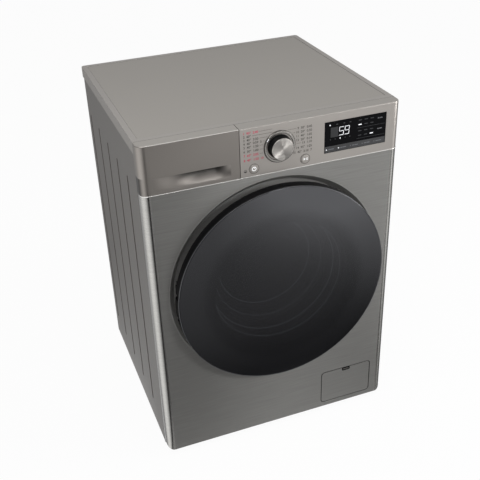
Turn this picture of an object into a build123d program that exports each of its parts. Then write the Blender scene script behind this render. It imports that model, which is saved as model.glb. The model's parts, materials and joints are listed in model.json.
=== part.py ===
"""A free-standing front load washing machine, as an assembly of separate pieces.

Millimetres. X runs to the right as seen from the front, Y to the back, Z up.
The origin is on the floor, below the middle of the machine's overall box.
"""

import os
from math import cos, pi, radians, sin, sqrt

from build123d import *

# Overall sizes
WIDTH = 600.0
HEIGHT = 850.0
CABINET_DEPTH = 551.0  # front panel's face to the rear cover's outer face
DOOR_RIM_PROUD = 41.0  # front panel's face to the rim of the door's cover
DOOR_CROWN = 9.0  # how far the middle of the cover bulges past its rim
INLET_PROUD = 22.0  # the water inlets' threads, past the rear cover
BODY_CLEARANCE = 22.0  # floor to the front panel's lower edge

# Walls and fits
SHEET = 1.0
PLASTIC = 2.5
FIT = 0.3  # gap between pieces that are assembled side by side
RUN = 0.05  # radial clearance of a shaft in its bore
SEAM = 1.2  # gap between the drawer's front and the fascia

# Cabinet
SIDE_STEP = 1.0  # side walls stand in by this from the fascia's side
FLANGE = 16.0
FOLD_RADIUS = 6.0
RIB_COUNT = 5
RIB_PITCH = 97.0
RIB_FIRST = 125.0  # front panel's face to the first rib
RIB_WIDTH = 10.0
RIB_DEPTH = 1.5
RIB_DROP = 115.0  # top of the machine to the ribs' upper ends
RIB_BOTTOM = 95.0
WINDOW_MARGIN = 50.0  # sides of the opening in the cabinet's back, in from the machine's sides
WINDOW_BOTTOM = 130.0
WINDOW_DROP = 140.0
WINDOW_RADIUS = 30.0
COVER_LAP = 14.0

# Front panel
CORNER_RADIUS = 18.0
PANEL_RETURN = 27.0
FASCIA_HEIGHT = 112.0
DISH_GAP = 7.0  # between the door's edge and the dish's rim
DISH_BEVEL = 14.0
DISH_DEPTH = 16.0
DISH_TOP_GAP = 13.0  # between the fascia and the dish's rim
MOUTH_RADIUS = 178.0
LIP_LENGTH = 14.0

# Top cover
SEAM_DEPTH = 31.0  # depth of the strip of the fascia that shows from above
TOP_SKIRT = 26.0
TOP_OVERHANG = 10.0
TOP_BORDER = 14.0
TOP_LEDGE = 12.0
TOP_PLATE = 2.0
TOP_SET_DOWN = 0.5

# Control fascia
CONTROLS_WIDTH = 382.0  # the fascia; the drawer's front has the rest of the width
DISPLAY_INSET = 36.0  # the display's edge, in from the machine's side
DISPLAY_DROP = 55.5  # its middle, below the top
DISPLAY_WIDTH = 150.0
DISPLAY_HEIGHT = 72.0
DISPLAY_THICK = 2.2
KNOB_INSET = 90.5  # the knob's axis, right of the drawer's front
KNOB_DROP = 54.0
KNOB_RADIUS = 24.5
KNOB_SKIRT_RADIUS = 27.5
KNOB_PROUD = 18.0
KNOB_STEM_RADIUS = 3.0
BEZEL_RADIUS = 36.0
BEZEL_WIDTH = 6.0
BEZEL_PROUD = 2.5
BUTTON_SPACING = 59.5  # each button's distance from the knob's axis, along X
BUTTON_DROP = 94.5
BUTTON_RADIUS = 9.5
BUTTON_PROUD = 1.0
BUTTON_TRAVEL = 1.5
BUTTON_COLLAR = 1.5
BOARD_DEPTH = 15.0  # front panel's face to the display board
BOARD_THICK = 1.6
POWER_BOX_WIDTH = 46.0
POWER_BOX_LENGTH = 170.0
POWER_BOX_HEIGHT = 104.0
POWER_BOX_FRONT = 120.0  # front panel's face to the power board's box
POWER_BOX_DROP = 12.0

# Detergent drawer
HANDLE_INSET = 27.0  # the scoop's left end, in from the machine's side
HANDLE_END = 21.0  # its right end, short of the fascia
HANDLE_DROP = 74.0  # its upper edge, below the top
HANDLE_HEIGHT = 30.0
HANDLE_DEPTH = 14.0
TRAY_INSET = 28.0
TRAY_END = 22.0
TRAY_LENGTH = 225.0
TRAY_DROP = 98.0
TRAY_HEIGHT = 58.0
TRAY_WALL = 2.0
HOUSING_GAP = 4.0
HOUSING_LENGTH = 275.0

# Door
DOOR_RADIUS = 253.0
COVER_THICK = 4.0
COVER_SEAT = 30.0  # flat band at the back of the cover, on the frame
FRAME_WALL = 3.0
FRAME_TAPER = 15.0  # the ring's side draws in by this much towards its back
FRAME_TAPER_DEPTH = 18.0
FRAME_INNER_RADIUS = 176.0
FRAME_LEDGE = 11.0
BOWL_RADIUS = 164.0
BOWL_END_RADIUS = 122.0
BOWL_DEPTH = 84.0
BOWL_DOME = 10.0
BOWL_WALL = 5.0
BOWL_FLANGE = 6.0
RETAINER_THICK = 4.0
HINGE_INSET = 17.0  # the hinge pin's axis, in from the door's edge
HINGE_PROUD = 18.0  # and forward of the front panel's face
PIN_RADIUS = 3.5
ARM_SPREAD = 30.0  # each hinge arm, above and below the door's centre
ARM_THICK = 10.0
ARM_WIDTH = 10.0
HOOK_OUT = 27.0  # the latch hook, out from the mouth's edge
HOOK_REACH = 38.0  # front panel's face to the tip of the latch hook

# Drum and tub
DRUM_RADIUS = 244.0
DRUM_SHEET = 1.0
DRUM_FRONT = 112.0  # front panel's face to the drum's front
DRUM_LENGTH = 340.0
DRUM_MOUTH_RADIUS = 168.0
DRUM_SHOULDER = 10.0
LIFTER_COUNT = 3
LIFTER_HEIGHT = 50.0
LIFTER_BASE = 64.0
LIFTER_CREST = 18.0
LIFTER_LENGTH = 290.0
TUB_GAP = 11.0
TUB_WALL = 3.0
TUB_SPLIT = 250.0  # front panel's face to the joint of the tub's halves
TUB_FLANGE = 9.0
TUB_FRONT_GAP = 9.0
TUB_BACK_GAP = 28.0
GASKET_WALL = 3.5
GASKET_FOLD = 14.0
WEIGHT_THICK = 37.0
WEIGHT_GAP = 13.2  # between the gasket's fold and a counterweight
WEIGHT_CUT = 95.0  # height of its chord from the axis
SHAFT_RADIUS = 15.0
BEARING_WIDTH = 16.0
BEARING_OUTER = 31.0
HUB_WALL = 6.0
ROTOR_RADIUS = 140.0
ROTOR_HEIGHT = 26.0
ROTOR_WALL = 2.5
STATOR_RADIUS = 130.0
STATOR_INNER = 92.0
STATOR_TEETH = 36
SUMP_HALF_WIDTH = 62.0
SUMP_DROP = 36.0
SUMP_PORT = 15.0  # radius of the sump's hose
SUMP_SPIGOT = 12.0
SUMP_Y = 330.0
SUMP_BEND = 24.0
SUMP_RUN = 45.0
HEATER_RADIUS = 4.0

# Suspension
SPRING_INSET = 38.0  # the springs' axes, in from the machine's sides
SPRING_Y = 330.0  # front panel's face to the springs
SPRING_DROP = 60.0
SPRING_RADIUS = 13.0
SPRING_WIRE = 2.0
SPRING_TURNS = 18
SPRING_RISE = 150.0  # the springs' lower ends, above the drum's axis
DAMPER_X = 165.0
DAMPER_Y = 205.0
DAMPER_RADIUS = 15.0
DAMPER_ROD_RADIUS = 7.0
DAMPER_LENGTH = 95.0
TUB_TRAVEL = 8.0

# Pump and its flap
FLAP_INSET = 38.5
FLAP_WIDTH = 140.0
FLAP_BOTTOM = 36.0
FLAP_HEIGHT = 99.0
FLAP_THICK = 3.0
FLAP_RADIUS = 9.0
FLAP_GAP = 1.0
FLAP_PIN = 1.3
FLAP_PIN_RISE = FLAP_RADIUS + 1.0  # the pin's axis over the flap's lower edge, clear of its rounded corners
SLOT_WIDTH = 21.0
SLOT_HEIGHT = 8.0
BAY_DEPTH = 32.0
FILTER_Z = 86.0
FILTER_RADIUS = 26.0
FILTER_HEAD_RADIUS = 31.0
PUMP_LENGTH = 95.0
PUMP_WALL = 3.0
PUMP_MOTOR_LENGTH = 42.0

# Feet, base and rear
TRAY_WALLS = 3.0
TRAY_RISE = 34.0
FOOT_INSET_X = 50.0
FOOT_INSET_FRONT = 62.0
FOOT_INSET_BACK = 48.0
FOOT_RADIUS = 21.0
FOOT_PAD = 9.0
FOOT_STEM = 5.0
FOOT_STEM_LENGTH = 46.0
INLET_SHIFT = 6.0  # middle of the inlets, right of the tray's middle
INLET_DROP = 78.0
INLET_RADIUS = 13.2  # a three-quarter inch hose thread
INLET_SPACING = 42.0
NECK = 1.2  # a spigot is this much thinner where it goes through the sheet
DRAIN_INSET = 100.0
DRAIN_Z = 92.0
DRAIN_RADIUS = 11.0
DRAIN_RISE = 46.0  # the drain hose climbs this far from the pump
DRAIN_BACK = 46.0  # and crosses this far in front of the back wall
GLAND_INSET = 95.0
GLAND_Z = 92.0
GLAND_RADIUS = 9.0
TRANSIT_X = 190.0
TRANSIT_RISE = 130.0
TRANSIT_RADIUS = 9.0

# Places worked out from the sizes above
HALF = WIDTH / 2
FASCIA_Z = HEIGHT - FASCIA_HEIGHT
DISH_RADIUS = DOOR_RADIUS + DISH_GAP
DISH_FLOOR_RADIUS = DISH_RADIUS - DISH_BEVEL
AXIS_Z = FASCIA_Z - DISH_TOP_GAP - DISH_RADIUS  # the drum's axis, and the door's centre
DOOR_PROUD = DOOR_RIM_PROUD + DOOR_CROWN
FRAME_BACK_RADIUS = DOOR_RADIUS - FRAME_TAPER
Y_FRONT = DOOR_PROUD - (DOOR_PROUD + CABINET_DEPTH + INLET_PROUD) / 2
Y_REAR = Y_FRONT + CABINET_DEPTH
Y_WALL = Y_REAR - SHEET  # outer face of the cabinet's back
CAB_HALF = HALF - SIDE_STEP
CAB_BOTTOM = BODY_CLEARANCE + 6.0
CAB_TOP = HEIGHT - TOP_SKIRT
INNER_HALF = CAB_HALF - SHEET
RIB_TOP = HEIGHT - RIB_DROP
WINDOW_HALF = HALF - WINDOW_MARGIN
WINDOW_TOP = HEIGHT - WINDOW_DROP
SPLIT_X = HALF - CONTROLS_WIDTH
DISPLAY_X = HALF - DISPLAY_INSET - DISPLAY_WIDTH / 2
DISPLAY_Z = HEIGHT - DISPLAY_DROP
KNOB_X = SPLIT_X + KNOB_INSET
KNOB_Z = HEIGHT - KNOB_DROP
BUTTON_Z = HEIGHT - BUTTON_DROP
HANDLE_LEFT = -HALF + HANDLE_INSET
HANDLE_RIGHT = SPLIT_X - HANDLE_END
HANDLE_TOP = HEIGHT - HANDLE_DROP
HANDLE_BOTTOM = HANDLE_TOP - HANDLE_HEIGHT
TRAY_LEFT = -HALF + TRAY_INSET
TRAY_RIGHT = SPLIT_X - TRAY_END
TRAY_BOTTOM = HEIGHT - TRAY_DROP
INLET_X = (TRAY_LEFT + TRAY_RIGHT) / 2 + INLET_SHIFT
INLET_Z = HEIGHT - INLET_DROP
DRAIN_X = -HALF + DRAIN_INSET
GLAND_X = HALF - GLAND_INSET
FLAP_X = HALF - FLAP_INSET - FLAP_WIDTH / 2
HOOK_X = MOUTH_RADIUS + HOOK_OUT
TUB_RADIUS = DRUM_RADIUS + TUB_GAP + TUB_WALL
TUB_FRONT = DRUM_FRONT - TUB_FRONT_GAP
DRUM_BACK = DRUM_FRONT + DRUM_LENGTH
TUB_BACK = DRUM_BACK + TUB_BACK_GAP
TUB_LIP_RADIUS = MOUTH_RADIUS + 4.0
GASKET_OUTER = MOUTH_RADIUS + SHEET + FIT + GASKET_WALL + GASKET_FOLD
SPRING_X = HALF - SPRING_INSET
SPRING_TOP = HEIGHT - SPRING_DROP
SPRING_LENGTH = SPRING_TOP - AXIS_Z - SPRING_RISE
BOWL_TIP = BOWL_DEPTH + BOWL_DOME
FLAP_LEFT = FLAP_X - FLAP_WIDTH / 2
FLAP_RIGHT = FLAP_X + FLAP_WIDTH / 2
FLAP_TOP = FLAP_BOTTOM + FLAP_HEIGHT
TRAY_FLOOR = CAB_BOTTOM + TRAY_WALLS
HINGE_X = -(DOOR_RADIUS - HINGE_INSET)
DOOR_BACK_PLANE = 0.0  # the door's back lies in the plane of the front panel's face


def at(depth):
    """Y of a plane that lies this far behind the front panel's face."""
    return Y_FRONT + depth


def block(x0, x1, y0, y1, z0, z1):
    """A box between two corners."""
    return Pos((x0 + x1) / 2, (y0 + y1) / 2, (z0 + z1) / 2) * Box(x1 - x0, y1 - y0, z1 - z0)


def rod_x(radius, y, z, x0, x1):
    """A round bar along X."""
    return Pos((x0 + x1) / 2, y, z) * Rot(0, 90, 0) * Cylinder(radius, x1 - x0)


def rod_y(radius, x, z, y0, y1):
    """A round bar along Y."""
    return Pos(x, (y0 + y1) / 2, z) * Rot(90, 0, 0) * Cylinder(radius, y1 - y0)


def rod_z(radius, x, y, z0, z1):
    """A round bar along Z."""
    return Pos(x, y, (z0 + z1) / 2) * Cylinder(radius, z1 - z0)


def tube_y(outer, inner, x, z, y0, y1):
    """A round tube along Y."""
    return rod_y(outer, x, z, y0, y1) - rod_y(inner, x, z, y0 - 1, y1 + 1)


def turned(*corners):
    """A ring or disc about the drum's axis, from (radius, depth) corners."""
    outline = Polyline(*[(r, at(d)) for r, d in corners], close=True)
    return Pos(0, 0, AXIS_Z) * revolve(make_face(outline), Axis.Y)


def mirrored(part):
    """The part and its mirror image on the other side of the machine."""
    return part + mirror(part, Plane.YZ)


def front_outline(x0, x1, z0, z1, radius, y0, y1):
    """A plate with rounded corners, seen from the front."""
    plate = block(x0, x1, y0, y1, z0, z1)
    return fillet(plate.edges().filter_by(Axis.Y), radius)


def piped(points, radii, outer, inner=0.0):
    """A round hose along straight runs joined by arcs."""
    path = FilletPolyline(*points, radius=radii)
    start = Plane(origin=path @ 0, z_dir=path % 0)
    hose = sweep(start * Circle(outer), path=path)
    if inner:
        hose -= sweep(start * Circle(inner), path=path)
    return hose


# Cabinet

def side_ribs(sign, inner):
    """The pressed ribs of one side wall: the grooves, or the metal behind them."""
    grow = SHEET if inner else 0.0
    start = SHEET if inner else -0.1
    end = RIB_DEPTH + grow
    ribs = None
    for i in range(RIB_COUNT):
        place = Plane(
            origin=(sign * (CAB_HALF - start), at(RIB_FIRST + i * RIB_PITCH), (RIB_TOP + RIB_BOTTOM) / 2),
            x_dir=(0, 1, 0),
            z_dir=(-sign, 0, 0),
        )
        slot = SlotOverall(RIB_TOP - RIB_BOTTOM + 2 * grow, RIB_WIDTH + 2 * grow, rotation=90)
        rib = extrude(place * slot, end - start)
        ribs = rib if ribs is None else ribs + rib
    return ribs


def cabinet_wrap():
    """Both side walls and the back, folded from one sheet."""
    front = at(PANEL_RETURN)
    wrap = block(-CAB_HALF, CAB_HALF, front, Y_WALL, CAB_BOTTOM, CAB_TOP)
    wrap = fillet(wrap.edges().filter_by(Axis.Z).group_by(Axis.Y)[-1], FOLD_RADIUS)
    inside = block(-INNER_HALF, INNER_HALF, front - 1, Y_WALL - SHEET, CAB_BOTTOM - 1, CAB_TOP + 1)
    wrap -= fillet(inside.edges().filter_by(Axis.Z).group_by(Axis.Y)[-1], FOLD_RADIUS - SHEET)
    lip = block(-INNER_HALF, -INNER_HALF + FLANGE, front, front + SHEET, CAB_BOTTOM, FASCIA_Z)
    rail = block(-INNER_HALF, -INNER_HALF + FLANGE, front, Y_WALL - SHEET, CAB_TOP - SHEET, CAB_TOP)
    wrap += mirrored(lip + rail)
    wrap -= block(-HALF, HALF, front - 1, at(SEAM_DEPTH), FASCIA_Z, CAB_TOP + 1)
    for sign in (-1, 1):
        wrap += side_ribs(sign, True)
    for sign in (-1, 1):
        wrap -= side_ribs(sign, False)
    wrap -= front_outline(
        -WINDOW_HALF, WINDOW_HALF, WINDOW_BOTTOM, WINDOW_TOP, WINDOW_RADIUS, Y_WALL - 9, Y_WALL + 1
    )
    for x in inlet_places():
        wrap -= rod_y(INLET_RADIUS - NECK + FIT, x, INLET_Z, Y_WALL - 9, Y_WALL + 1)
    wrap -= rod_y(DRAIN_RADIUS - NECK + FIT, DRAIN_X, DRAIN_Z, Y_WALL - 9, Y_WALL + 1)
    wrap -= rod_y(GLAND_RADIUS + FIT, GLAND_X, GLAND_Z, Y_WALL - 9, Y_WALL + 1)
    return wrap


def transit_places():
    """Where the shipping bolts go through the rear cover."""
    return [(sx * TRANSIT_X, AXIS_Z + sz * TRANSIT_RISE) for sx in (-1, 1) for sz in (-1, 1)]


def rear_cover():
    """The service panel, pressed with two rings round the motor."""
    half = WINDOW_HALF + COVER_LAP
    cover = front_outline(
        -half, half, WINDOW_BOTTOM - COVER_LAP, WINDOW_TOP + COVER_LAP, WINDOW_RADIUS, Y_WALL, Y_REAR
    )
    depth = CABINET_DEPTH
    for radius in (ROTOR_RADIUS + 12.0, ROTOR_RADIUS + 36.0):
        cover += turned(
            (radius - SHEET, depth - SHEET - 3), (radius + 10 + SHEET, depth - SHEET - 3),
            (radius + 13 + SHEET, depth - SHEET), (radius - 3 - SHEET, depth - SHEET),
        )
        cover -= turned(
            (radius, depth - 3), (radius + 10, depth - 3), (radius + 12, depth + 1), (radius - 2, depth + 1)
        )
    for x, z in transit_places():
        cover -= rod_y(TRANSIT_RADIUS + FIT, x, z, Y_WALL - 9, Y_REAR + 1)
    return cover


def transit_caps():
    """Plugs in the holes that the shipping bolts leave."""
    caps = None
    for x, z in transit_places():
        cap = rod_y(TRANSIT_RADIUS + 5, x, z, Y_REAR, Y_REAR + 3) + rod_y(TRANSIT_RADIUS, x, z, Y_WALL - 5, Y_REAR)
        caps = cap if caps is None else caps + cap
    return caps


def rear_screws():
    """Screws round the rear cover, heads only."""
    half = WINDOW_HALF + COVER_LAP / 2
    low = WINDOW_BOTTOM - COVER_LAP / 2
    high = WINDOW_TOP + COVER_LAP / 2
    middle = (low + high) / 2
    places = [(s * half, z) for s in (-1, 1) for z in (low + 40, middle, high - 40)]
    places += [(0, low), (0, high)]
    screws = None
    for x, z in places:
        screw = rod_y(5.0, x, z, Y_REAR, Y_REAR + 2.5)
        screws = screw if screws is None else screws + screw
    return screws


def front_panel():
    """The steel front: rounded uprights, a dish for the door and the pump's hatch."""
    y0 = at(0)
    y1 = at(PANEL_RETURN)
    outer = block(-HALF, HALF, y0, y1, BODY_CLEARANCE, FASCIA_Z)
    outer = fillet(outer.edges().filter_by(Axis.Z).group_by(Axis.Y)[0], CORNER_RADIUS)
    inner = block(-HALF + SHEET, HALF - SHEET, y0 + SHEET, y1 + 1, BODY_CLEARANCE + SHEET, FASCIA_Z - SHEET)
    inner = fillet(inner.edges().filter_by(Axis.Z).group_by(Axis.Y)[0], CORNER_RADIUS - SHEET)
    silhouette = block(-HALF, HALF, y0 - 1, y1 + 1, BODY_CLEARANCE, FASCIA_Z)
    silhouette = fillet(silhouette.edges().filter_by(Axis.Y).group_by(Axis.Z)[0], CORNER_RADIUS)
    inside = block(
        -HALF + SHEET, HALF - SHEET, y0 - 2, y1 + 2, BODY_CLEARANCE + SHEET, FASCIA_Z - SHEET
    )
    inside = fillet(inside.edges().filter_by(Axis.Y).group_by(Axis.Z)[0], CORNER_RADIUS - SHEET)
    panel = (outer & silhouette) - (inner & inside)
    panel += turned(
        (MOUTH_RADIUS, DISH_DEPTH), (DISH_FLOOR_RADIUS, DISH_DEPTH), (DISH_RADIUS, 0),
        (DISH_RADIUS + 1.5 * SHEET, SHEET), (DISH_FLOOR_RADIUS + SHEET, DISH_DEPTH + SHEET),
        (MOUTH_RADIUS + SHEET, DISH_DEPTH + SHEET), (MOUTH_RADIUS + SHEET, DISH_DEPTH + LIP_LENGTH),
        (MOUTH_RADIUS, DISH_DEPTH + LIP_LENGTH),
    )
    panel -= turned((0, -1), (DISH_RADIUS + 14.0 / 16.0, -1), (DISH_FLOOR_RADIUS, DISH_DEPTH), (0, DISH_DEPTH))
    panel -= front_outline(
        FLAP_LEFT - FLAP_GAP, FLAP_RIGHT + FLAP_GAP, FLAP_BOTTOM - FLAP_GAP, FLAP_TOP + FLAP_GAP,
        FLAP_RADIUS + FLAP_GAP, y0 - 1, y0 + SHEET + 1,
    )
    slot = HOOK_X - 9
    panel -= block(slot, slot + 20, y0, at(DISH_DEPTH + 2), AXIS_Z - 14, AXIS_Z + 14)
    return panel


def base_tray():
    """The moulded tray at the bottom, with a boss for each foot."""
    half = INNER_HALF - FIT
    y0 = at(PANEL_RETURN + SHEET + FIT)
    y1 = Y_WALL - SHEET - FIT
    top = CAB_BOTTOM + TRAY_RISE
    tray = block(-half, half, y0, y1, CAB_BOTTOM, top)
    tray = fillet(tray.edges().filter_by(Axis.Z).group_by(Axis.Y)[-1], 6.0)
    tray -= block(-half + TRAY_WALLS, half - TRAY_WALLS, y0 + TRAY_WALLS, y1 - TRAY_WALLS, TRAY_FLOOR, top + 1)
    for x in (-95.0, 0.0, 95.0):
        tray += block(x - 2, x + 2, y0 + 1, y1 - 1, TRAY_FLOOR - 1, TRAY_FLOOR + 8)
    for x, y in foot_places():
        tray += rod_z(FOOT_STEM + 9, x, y, CAB_BOTTOM, CAB_BOTTOM + 24)
    for sign in (-1, 1):
        tray += block(
            sign * DAMPER_X - 14, sign * DAMPER_X + 14, at(DAMPER_Y) - 14, at(DAMPER_Y) + 14,
            TRAY_FLOOR - 1, TRAY_FLOOR + 12,
        )
    for x, y in foot_places():
        tray -= rod_z(FOOT_STEM + RUN, x, y, CAB_BOTTOM - 1, CAB_BOTTOM + 40)
    notch = FLAP_LEFT - 12
    tray -= block(notch, half - 24, y0 - 1, at(BAY_DEPTH + 8), TRAY_FLOOR, top + 1)
    return tray


def foot_places():
    """Centres of the four feet."""
    x = HALF - FOOT_INSET_X
    return [(sx * x, y) for y in (at(FOOT_INSET_FRONT), Y_REAR - FOOT_INSET_BACK) for sx in (-1, 1)]


def foot(x, y):
    """A levelling foot: a pad on a threaded stem."""
    pad = rod_z(FOOT_RADIUS, x, y, 0, FOOT_PAD)
    pad = fillet(pad.edges().sort_by(Axis.Z)[-1], 3.0)
    return pad + rod_z(FOOT_STEM, x, y, FOOT_PAD - 1, FOOT_STEM_LENGTH + FOOT_PAD)


def foot_nuts():
    """Lock nuts, tight against the tray's bosses."""
    nuts = None
    for x, y in foot_places():
        plan = RegularPolygon(9.8, 6) - Circle(FOOT_STEM + RUN)
        nut = Pos(x, y, CAB_BOTTOM - 6) * extrude(plan, 6)
        nuts = nut if nuts is None else nuts + nut
    return nuts


# Top cover

def top_frame():
    """The moulded surround of the worktop, with its skirt."""
    y0 = at(SEAM_DEPTH)
    y1 = Y_REAR + TOP_OVERHANG
    frame = block(-HALF, HALF, y0, y1, CAB_TOP, HEIGHT)
    frame = fillet(frame.edges().filter_by(Axis.Z).group_by(Axis.Y)[-1], 8.0)
    frame = fillet(frame.faces().sort_by(Axis.Z)[-1].edges(), 1.6)
    frame -= block(-HALF + 3, HALF - 3, y0 + 3, y1 - 3, CAB_TOP - 1, HEIGHT - TOP_PLATE - TOP_SET_DOWN - 3)
    sill = TOP_BORDER + TOP_LEDGE
    frame -= block(-HALF + sill, HALF - sill, y0 + sill, y1 - sill, CAB_TOP - 1, HEIGHT + 1)
    frame -= block(
        -HALF + TOP_BORDER, HALF - TOP_BORDER, y0 + TOP_BORDER, y1 - TOP_BORDER,
        HEIGHT - TOP_PLATE - TOP_SET_DOWN, HEIGHT + 1,
    )
    return frame


def top_plate():
    """The worktop's panel, let into its surround."""
    edge = TOP_BORDER + FIT
    return block(
        -HALF + edge, HALF - edge, at(SEAM_DEPTH) + edge, Y_REAR + TOP_OVERHANG - edge,
        HEIGHT - TOP_PLATE - TOP_SET_DOWN, HEIGHT - TOP_SET_DOWN,
    )


# Control fascia

def fascia_block(x0, x1, wall):
    """The fascia's outer form between two planes, or its hollow, one wall further in."""
    shell = block(
        -HALF + wall, HALF - wall, at(wall), at(SEAM_DEPTH - FIT) + (1 if wall else 0),
        FASCIA_Z + FIT + wall, HEIGHT - wall,
    )
    shell = fillet(shell.edges().filter_by(Axis.Z).group_by(Axis.Y)[0], CORNER_RADIUS - wall)
    if not wall:
        shell = fillet(shell.faces().sort_by(Axis.Z)[-1].edges().group_by(Axis.Y)[0], 2.5)
    return shell & block(x0, x1, at(-5), at(SEAM_DEPTH + 5), FASCIA_Z - 5, HEIGHT + 5)


def button_places():
    """The power button and the start button, in that order."""
    return [(KNOB_X - BUTTON_SPACING, BUTTON_Z), (KNOB_X + BUTTON_SPACING, BUTTON_Z)]


def display_corners(grow=0.0):
    """Left, right, lower and upper edges of the display's window."""
    return (
        DISPLAY_X - DISPLAY_WIDTH / 2 - grow, DISPLAY_X + DISPLAY_WIDTH / 2 + grow,
        DISPLAY_Z - DISPLAY_HEIGHT / 2 - grow, DISPLAY_Z + DISPLAY_HEIGHT / 2 + grow,
    )


def control_fascia():
    """The right-hand part of the fascia, with its knob, buttons and display."""
    left = SPLIT_X + SEAM / 2
    fascia = fascia_block(left, HALF, 0) - fascia_block(left + PLASTIC, HALF, PLASTIC)
    x0, x1, z0, z1 = display_corners(FIT)
    back = display_corners(3.0)
    fascia += block(back[0], back[1], at(PLASTIC - 0.5), at(DISPLAY_THICK + PLASTIC), back[2], back[3])
    fascia -= block(x0, x1, at(-1), at(DISPLAY_THICK), z0, z1)
    fascia -= block(x0 + 4, x1 - 4, at(0), at(SEAM_DEPTH), z0 + 4, z1 - 4)
    fascia -= rod_y(KNOB_STEM_RADIUS + 1, KNOB_X, KNOB_Z, at(-1), at(PLASTIC + 1))
    for x, z in button_places():
        fascia -= rod_y(BUTTON_RADIUS + FIT, x, z, at(-1), at(PLASTIC + 1))
    for x in board_posts():
        for z in (FASCIA_Z + 10, HEIGHT - 10):
            fascia += rod_y(3.0, x, z, at(PLASTIC - 0.5), at(BOARD_DEPTH))
    return fascia


def board_posts():
    """X of the posts that hold the display board."""
    x0, x1, _, _ = display_corners()
    return (KNOB_X - BUTTON_SPACING - 18, (KNOB_X + BUTTON_SPACING + x0) / 2, x1 + 12)


def display_window():
    """The dark glass over the display."""
    x0, x1, z0, z1 = display_corners()
    return front_outline(x0, x1, z0, z1, 1.0, at(0), at(DISPLAY_THICK))


def display_board():
    """The control board: display module, button switches and the knob's encoder."""
    posts = board_posts()
    back = BOARD_DEPTH + BOARD_THICK
    board = block(posts[0] - 8, posts[-1] + 8, at(BOARD_DEPTH), at(back), FASCIA_Z + 5, HEIGHT - 5)
    x0, x1, z0, z1 = display_corners(-6.0)
    board += block(x0, x1, at(DISPLAY_THICK + 1.5), at(BOARD_DEPTH), z0, z1)
    encoder = block(KNOB_X - 7, KNOB_X + 7, at(8), at(BOARD_DEPTH), KNOB_Z - 7, KNOB_Z + 7)
    board += encoder - rod_y(KNOB_STEM_RADIUS + RUN, KNOB_X, KNOB_Z, at(7), at(BOARD_DEPTH - 1))
    for x, z in button_places():
        board += block(x - 3, x + 3, at(button_back() + BUTTON_TRAVEL + FIT), at(BOARD_DEPTH), z - 3, z + 3)
    return board


def button_back():
    """Depth of a button's stem end, at rest."""
    return PLASTIC + BUTTON_COLLAR + FIT + 5.0


def push_button(x, z):
    """A round push button with a collar behind the fascia."""
    cap = rod_y(BUTTON_RADIUS, x, z, at(-BUTTON_PROUD), at(PLASTIC + FIT))
    cap = fillet(cap.edges().sort_by(Axis.Y)[0], 0.6)
    cap += rod_y(BUTTON_RADIUS + 1.5, x, z, at(PLASTIC + FIT), at(PLASTIC + FIT + BUTTON_COLLAR))
    return cap + rod_y(3.0, x, z, at(PLASTIC), at(button_back()))


def knob_bezel():
    """The fixed ring round the knob."""
    ring = tube_y(BEZEL_RADIUS, BEZEL_RADIUS - BEZEL_WIDTH, KNOB_X, KNOB_Z, at(-BEZEL_PROUD), at(0))
    return chamfer(ring.edges().group_by(Axis.Y)[0], 1.0)


def program_knob():
    """The knob's dark skirt and its stem."""
    skirt = Pos(KNOB_X, at(-1), KNOB_Z) * Rot(90, 0, 0) * Cone(
        KNOB_SKIRT_RADIUS, KNOB_RADIUS, KNOB_PROUD - 3.0, align=(Align.CENTER, Align.CENTER, Align.MIN)
    )
    return skirt + rod_y(KNOB_STEM_RADIUS, KNOB_X, KNOB_Z, at(-2), at(BOARD_DEPTH - 2))


def knob_cap():
    """The spun metal cap on the knob."""
    cap = rod_y(KNOB_RADIUS, KNOB_X, KNOB_Z, at(-KNOB_PROUD), at(-(KNOB_PROUD - 2.0)))
    return chamfer(cap.edges().sort_by(Axis.Y)[0], 0.7)


# Detergent drawer

def handle_scoop(wall):
    """The finger scoop in the drawer's front, or the wall behind it.

    Seen from the side it is a quarter round under a sharp upper edge; seen from
    above it ramps in from the left and ends in a round at the right.
    """
    depth = HANDLE_DEPTH + wall
    low = HANDLE_BOTTOM - wall
    high = HANDLE_TOP + wall
    side = Line((-1, low), (-1, high)) + Line((-1, high), (depth, high)) + Line((depth, high), (depth, high - 5))
    side += ThreePointArc((depth, high - 5), (depth * 0.6, low + (high - low) * 0.3), (0, low)) + Line((0, low), (-1, low))
    side_plane = Plane(origin=(HANDLE_LEFT - wall, at(0), 0), x_dir=(0, 1, 0), z_dir=(1, 0, 0))
    length = HANDLE_RIGHT - HANDLE_LEFT + 2 * wall
    swept = extrude(side_plane * make_face(side), length)
    right = HANDLE_RIGHT + wall
    plan = Polyline(
        (HANDLE_LEFT - wall, -1), (HANDLE_LEFT - wall, 0), (HANDLE_LEFT - wall + length * 0.6, depth),
        (right, depth), (right, -1), close=True,
    )
    ramp = extrude(Plane((0, at(0), low - 1)) * make_face(plan), high - low + 2)
    ramp = fillet(ramp.edges().filter_by(Axis.Z).group_by(Axis.X)[-1].sort_by(Axis.Y)[-1], depth - 1)
    return swept & ramp


def drawer_front():
    """The left-hand part of the fascia, which pulls out with the drawer."""
    right = SPLIT_X - SEAM / 2
    front = fascia_block(-HALF, right, 0) - fascia_block(-HALF, right - PLASTIC, PLASTIC)
    front += handle_scoop(PLASTIC) & block(-HALF, right, at(PLASTIC - 1), at(SEAM_DEPTH), FASCIA_Z, HEIGHT)
    front -= handle_scoop(0.0)
    for x in (TRAY_LEFT + 12, TRAY_RIGHT - 4):
        front += block(x - 2, x + 2, at(PLASTIC - 0.5), at(SEAM_DEPTH), HANDLE_TOP + 6, HEIGHT - 12)
    return front


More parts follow.
